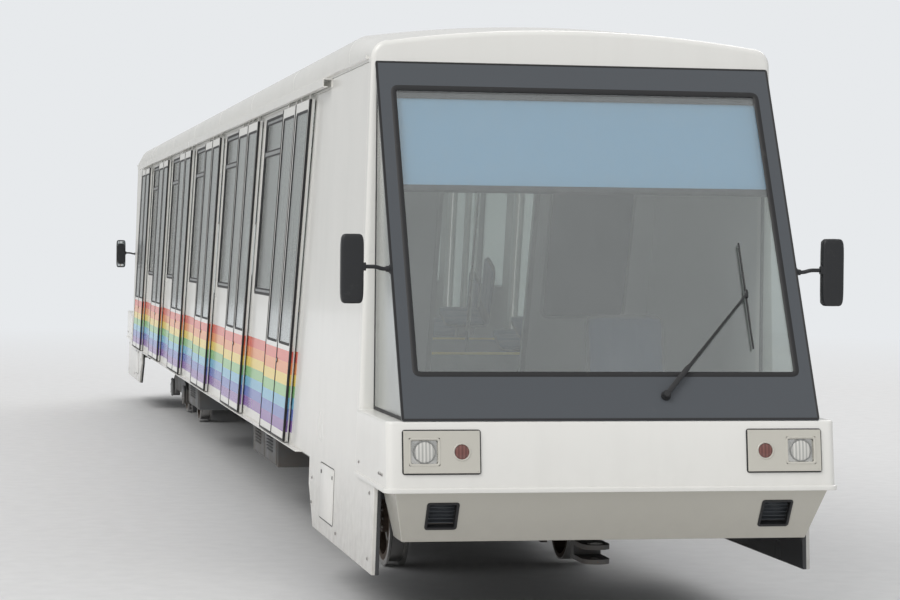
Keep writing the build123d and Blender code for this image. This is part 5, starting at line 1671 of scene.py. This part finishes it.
class FUNICULAR_OT_seats(bpy.types.Operator):
    """Makes the passengers' and drivers' seats: moulded shells, sewn cloth pads and bolted feet"""

    bl_idname = "funicular.seats"
    bl_label = "Seats"

    def execute(self, context):
        places = []
        for y, z, step, tread in tread_edges():
            if step in (1, 3):
                middle_y, middle_z = y - tread / 2, z - POST_LEAN * tread / 2
                reach = wall_x(middle_z + ELBOW) - WALL_GAP
                for side in SIDES:
                    places.append(plane((side * reach, middle_y, middle_z), (-side, 0, 0), PLUMB, LEVEL))
        seats("passenger", places, *PASSENGER_SEAT)
        spots = [(DRIVER_X, way * (TIP - DRIVER_INWARDS), CAB_FLOOR) for _, way in ENDS]
        places = [plane(spot, (0, way, 0), UP, ACROSS) for spot, (_, way) in zip(spots, ENDS)]
        seats("driver", places, *DRIVER_SEAT)
        return {"FINISHED"}


def on_bulkhead(part, face, out):
    """A part on a bulkhead's face, which leans with the posts: its depth grows downwards from the belt."""
    points = part[0].copy()
    points[:, 2] += out * POST_LEAN * (BELT - points[:, 1])
    return placed((points, part[1]), plane((0, face, 0), ACROSS, UP, (0, out, 0)))


def bulkhead_fittings(kit, way, face, foot):
    """The frames of a bulkhead's doorway on both its faces, and a smoked pane with its seal on the cab's."""
    doorway = [(0.32, foot), (0.32, foot + 1.85), (-0.32, foot + 1.85), (-0.32, foot)]
    surround = moulding(doorway, DOOR_FRAME, closed=False)
    corners = [(0.44, foot + 0.80), (1.02, foot + 0.80), (1.02, foot + 2.02), (0.44, foot + 2.02)]
    light = rounded(corners, 0.05)
    kit.add("bulkhead_panes", on_bulkhead(prism(light, -0.002, 0.003, 0.001), face, way))
    for part, at, out in (
        (surround, face, way), (surround, face - way * BULKHEAD_THICK, -way),
        (seal(light, 0.0, 0.014, 0.006, 0.006), face, way),
    ):
        kit.add("light_and_door_frames", on_bulkhead(part, at, out))


def pole_flanges(kit):
    """A flange on the floor and one on the ceiling for each grab pole."""
    flange = turned(POLE_FLANGE, 28)
    ceiling = 3.420 + 0.075 * (1 - (POLE_X / 1.07) ** 2)
    for number in range(BAYS):
        y, z = platform_point(FIRST_DOOR + number * BAY, DOOR / 2)
        top_y = y - (ceiling - z) * POST_LEAN
        for side in SIDES:
            kit.add("pole_flanges", flange, plane((side * POLE_X, y, z), ACROSS, LEVEL, PLUMB))
            kit.add("pole_flanges", flange, plane((side * POLE_X, top_y, ceiling), ACROSS, ALONG, (0, 0, -1)))


def ceiling_lights(kit):
    """Two rows of lights, each with a diffuser and a frame."""
    rim = moulding(oblong(0.134, 1.454, 0.021), LIGHT_RIM)
    for x in (-0.42, 0.42):
        for y in -7.6 + 1.72 * np.arange(LIGHTS):
            kit.add("ceiling_lights", prism(oblong(0.13, 1.45, 0.02, (x, y)), 3.452, 3.486, 0.006))
            kit.add("light_and_door_frames", repeated(rim, [(x, y, 3.468)]))


class FUNICULAR_OT_cabin(bpy.types.Operator):
    """Makes the treads' edges, the poles' flanges, the ceiling's lights and the cab doors' frames"""

    bl_idname = "funicular.cabin"
    bl_label = "Cabin fittings"

    def execute(self, context):
        kit = Gathered()
        half = wall_x(1.8) - 0.075
        lip = prism(TREAD_LIP, -half, half, 0.0005)
        for y, z, _, _ in tread_edges():
            kit.add("tread_edges", lip, plane((0, y, z), LEVEL, PLUMB, ACROSS))
        pole_flanges(kit)
        ceiling_lights(kit)
        last = FIRST_DOOR + (BAYS - 1) * BAY
        last_foot = platform_point(last, DOOR + BULKHEAD_GAP)[1] - 0.045
        bulkhead_fittings(kit, -1, FIRST_DOOR - BULKHEAD_GAP, FLOOR)
        bulkhead_fittings(kit, 1, last + DOOR + BULKHEAD_GAP, last_foot)
        foot = wall_x(0.88) - 0.065
        for _, way in ENDS:
            for side in SIDES:
                strip = prism([(side * (foot + x), z) for x, z in KICK_STRIP], 10.05, 11.62, 0.002)
                kit.add("cab_kick_strips", strip, plane((0, 0, 0), ACROSS, UP, (0, way, 0)))
        kit.make((
            ("cab_kick_strips", "desk_trim"),
            ("bulkhead_panes", "smoked_glass"),
            ("tread_edges", "step_edge_yellow"),
            ("pole_flanges", "stainless_pole"),
            ("ceiling_lights", "light_diffuser"),
            ("light_and_door_frames", "zinc_fittings"),
        ))
        return {"FINISHED"}


def spun(part, angle, spot):
    """A part turned about its third axis and moved to a spot."""
    return placed(part, plane(spot, (cos(angle), sin(angle), 0), (-sin(angle), cos(angle), 0), UP))


def dial(kit, number, where):
    """A dial on the desk: its rim, its face, eleven marks and a needle."""
    spot = (-0.17 + number * 0.115, 0.085, 0.006)
    kit.add("desk_metal", repeated(turned(DIAL_RIM, 32), [spot]), where)
    kit.add("desk_displays", repeated(turned(DIAL_FACE, 28), [spot]), where)
    mark = prism(DIAL_MARK, 0.0028, 0.0036, 0.0)
    for tick in range(11):
        kit.add("desk_pale_parts", spun(mark, radians(135 - 27 * tick), spot), where)
    needle = prism(NEEDLE, 0.004, 0.0052, 0.0)
    kit.add("desk_red_parts", spun(needle, radians(130 - 30 * number), spot), where)


def desk_top(kit, way):
    """What a desk's sloping top carries: two panels, dials, push buttons, a stop button and a brake lever."""
    up = (0, way * cos(DESK_SLOPE), sin(DESK_SLOPE))
    out = (0, -way * sin(DESK_SLOPE), cos(DESK_SLOPE))
    where = plane((0.45, way * (TIP - 0.5085), 1.1655), ACROSS, up, out)
    for x, size in ((0.0, (0.56, 0.34)), (-0.80, (0.34, 0.26))):
        kit.add("desk_panels", prism(oblong(*size, 0.02, (x, 0)), -0.002, 0.006, 0.003), where)
    for number in range(3):
        dial(kit, number, where)
    rows = [(-0.22 + 0.045 * column, -0.04 - 0.045 * row, 0.006) for column in range(8) for row in range(2)]
    for name, part, spots in (
        ("desk_pale_parts", turned(PUSH_BUTTON, 20), rows),
        ("desk_red_parts", turned(STOP_BUTTON, 28), [(0.215, 0.085, 0.006)]),
        ("desk_panels", turned(GAITER, 24), [(0.215, -0.07, 0.006)]),
        ("desk_panels", pebble((0.040, 0.040, 0.062), 0.75, 12, 20), [(0.215, -0.088, 0.145)]),
    ):
        kit.add(name, repeated(part, spots), where)
    lever = [(0.215, -0.07, 0.03), (0.215, -0.075, 0.08), (0.215, -0.085, 0.13)]
    kit.add("desk_metal", tube(lever, 0.007, 12, ACROSS), where)


def desk_screen(kit, way, lean=0.35):
    """The display that stands on a desk, with its housing and its foot."""
    up, out = (0, way * sin(lean), cos(lean)), (0, -way * cos(lean), sin(lean))
    stand = plane((-0.28, way * (TIP - 0.36), 1.215), ACROSS, up, out)
    kit.add("desk_panels", prism(oblong(0.36, 0.25, 0.018, (0, 0.135)), -0.045, 0.0, 0.006), stand)
    kit.add("desk_panels", prism(oblong(0.12, 0.06, 0.01, (0, 0.005)), -0.035, -0.010, 0.004), stand)
    kit.add("desk_displays", prism(oblong(0.31, 0.20, 0.006, (0, 0.135)), -0.004, 0.0015, 0.0008), stand)


class FUNICULAR_OT_cabs(bpy.types.Operator):
    """Makes what stands on the drivers' desks: a display, dials, buttons, a stop button and a brake lever"""

    bl_idname = "funicular.cabs"
    bl_label = "Cabs"

    def execute(self, context):
        softened("driver_desks", 0.008)
        kit = Gathered()
        for _, way in ENDS:
            desk_top(kit, way)
            desk_screen(kit, way)
        kit.make((
            ("desk_panels", "desk_trim"),
            ("desk_displays", "desk_display"),
            ("desk_metal", "zinc_fittings"),
            ("desk_red_parts", "button_red"),
            ("desk_pale_parts", "button_pale"),
        ))
        return {"FINISHED"}


# Floor, light and camera

class FUNICULAR_OT_stage(bpy.types.Operator):
    """Makes the pale floor, the soft light and the camera at the photograph's viewing angle"""

    bl_idname = "funicular.stage"
    bl_label = "Make the stage"

    def execute(self, context):
        make_floor()
        make_world(context.scene)
        make_lamps()
        make_camera(context.scene)
        context.scene.view_settings.view_transform = "Standard"
        return {"FINISHED"}


BACKDROP = (0.80, 0.82, 0.84)


def make_floor():
    """A disc of rings whose radii grow by a power of 1.5. Its colour fades into the backdrop far away."""
    rings, spokes, reach = 24, 96, 90.0
    radius = np.linspace(0, 1, rings)[:, None] ** 1.5 * reach
    angle = np.linspace(0, 2 * pi, spokes, endpoint=False)[None, :]
    points = np.stack([radius * np.cos(angle), radius * np.sin(angle), np.full((rings, spokes), -0.002)], -1)
    flat, faces = grid_part(points, loop=True)
    mesh = bpy.data.meshes.new("stage_floor")
    mesh.from_pydata(flat.tolist(), [], [face[::-1] for face in faces])
    floor = bpy.data.objects.new("stage_floor", mesh)
    bpy.context.scene.collection.objects.link(floor)
    material, tree, shader, place = finish("pale_floor", 0.75)
    reach_out = put(tree, "VectorMath", ((0, place),), operation="LENGTH").outputs["Value"]
    fade = between(tree, reach_out, 17.0, 42.0)
    fine = between(tree, noise(tree, place, 6.0, 3), 0.3, 0.7, 0.66, 0.70)
    feed(shader, "Base Color", blend(tree, 1.0, (1, 1, 1, 1), fine, "MULTIPLY"))
    glow = put(tree, "Emission", (("Color", rgba(BACKDROP)), ("Strength", 1.0)))
    mixed = put(tree, "MixShader", ((0, fade), (1, shader.outputs[0]), (2, glow.outputs[0])))
    end = next(item for item in tree.nodes if item.type == "OUTPUT_MATERIAL")
    tree.links.new(mixed.outputs[0], end.inputs["Surface"])
    mesh.materials.append(material)


def make_world(scene):
    """A pale backdrop for the camera and through glass, and soft light from above for all the rest."""
    world = bpy.data.worlds.new("studio")
    scene.world = world
    world.use_nodes = True
    tree = world.node_tree
    tree.nodes.clear()
    ray = put(tree, "LightPath")
    direction = put(tree, "TexCoord").outputs["Generated"]
    height = axis_of(tree, direction, "Z")
    rise = between(tree, height, 0.02, 0.55)
    room = blend(tree, rise, rgba((0.56, 0.575, 0.575)), rgba((0.86, 0.87, 0.89)))
    lit = put(tree, "Background", (("Color", room), ("Strength", 0.78)))
    seen = put(tree, "Background", (("Color", rgba(BACKDROP)), ("Strength", 1.0)))
    shown = maths(tree, "MAXIMUM", ray.outputs["Is Camera Ray"], ray.outputs["Is Transmission Ray"])
    mixed = put(tree, "MixShader", ((0, shown), (1, lit.outputs[0]), (2, seen.outputs[0])))
    end = put(tree, "OutputWorld")
    tree.links.new(mixed.outputs[0], end.inputs["Surface"])


def make_lamps():
    """A broad sun from over the camera's left shoulder and a weaker one from the far side."""
    for name, energy, turn in (("key", 1.42, (46, 0, -50)), ("fill", 0.55, (52, 0, 150))):
        lamp = bpy.data.lights.new(name, "SUN")
        lamp.energy = energy
        lamp.angle = radians(35)
        lamp.color = (1.0, 0.985, 0.96)
        holder = bpy.data.objects.new(name, lamp)
        holder.rotation_euler = [radians(value) for value in turn]
        bpy.context.scene.collection.objects.link(holder)


def make_camera(scene):
    """Where the photograph's camera stands, turned to the car and drawn in until the car fills the frame."""
    data = bpy.data.cameras.new("photo_camera")
    data.lens = 102
    data.clip_end = 500
    camera = bpy.data.objects.new("photo_camera", data)
    camera.location = (-3.46, -25.26, 2.165)
    yaw, drop, roll = radians(10.60), radians(1.15), 0.0098
    look = Vector((sin(yaw) * cos(drop), cos(yaw) * cos(drop), -sin(drop)))
    camera.rotation_mode = "QUATERNION"
    camera.rotation_quaternion = look.to_track_quat("-Z", "Y") @ Matrix.Rotation(roll, 3, "Z").to_quaternion()
    scene.collection.objects.link(camera)
    scene.camera = camera


OPERATORS = (
    FUNICULAR_OT_finishes,
    FUNICULAR_OT_shell,
    FUNICULAR_OT_screens,
    FUNICULAR_OT_noses,
    FUNICULAR_OT_lamps,
    FUNICULAR_OT_mirrors,
    FUNICULAR_OT_wipers,
    FUNICULAR_OT_doors,
    FUNICULAR_OT_windows,
    FUNICULAR_OT_bogies,
    FUNICULAR_OT_underframe,
    FUNICULAR_OT_seats,
    FUNICULAR_OT_cabin,
    FUNICULAR_OT_cabs,
    FUNICULAR_OT_stage,
)


class FUNICULAR_PT_sidebar(bpy.types.Panel):
    """Lists the car's operators, colours and sizes"""

    bl_label = "Funicular Car"
    bl_idname = "FUNICULAR_PT_sidebar"
    bl_space_type = "VIEW_3D"
    bl_region_type = "UI"
    bl_category = "Funicular"

    def draw(self, context):
        for operator in OPERATORS:
            self.layout.operator(operator.bl_idname)
        for settings in (colours(), sizes()):
            for key in settings.bl_rna.properties.keys():
                if key not in ("rna_type", "name"):
                    self.layout.prop(settings, key)


CLASSES = (FunicularColours, FunicularSizes, *OPERATORS, FUNICULAR_PT_sidebar)


def register():
    for made in CLASSES:
        bpy.utils.register_class(made)
    bpy.types.Scene.funicular_colours = bpy.props.PointerProperty(type=FunicularColours)
    bpy.types.Scene.funicular_sizes = bpy.props.PointerProperty(type=FunicularSizes)


def unregister():
    del bpy.types.Scene.funicular_sizes
    del bpy.types.Scene.funicular_colours
    for made in reversed(CLASSES):
        bpy.utils.unregister_class(made)


def main():
    register()
    for operator in OPERATORS:
        group, name = operator.bl_idname.split(".")
        getattr(getattr(bpy.ops, group), name)()
    bpy.context.view_layer.update()


if __name__ == "__main__":
    main()
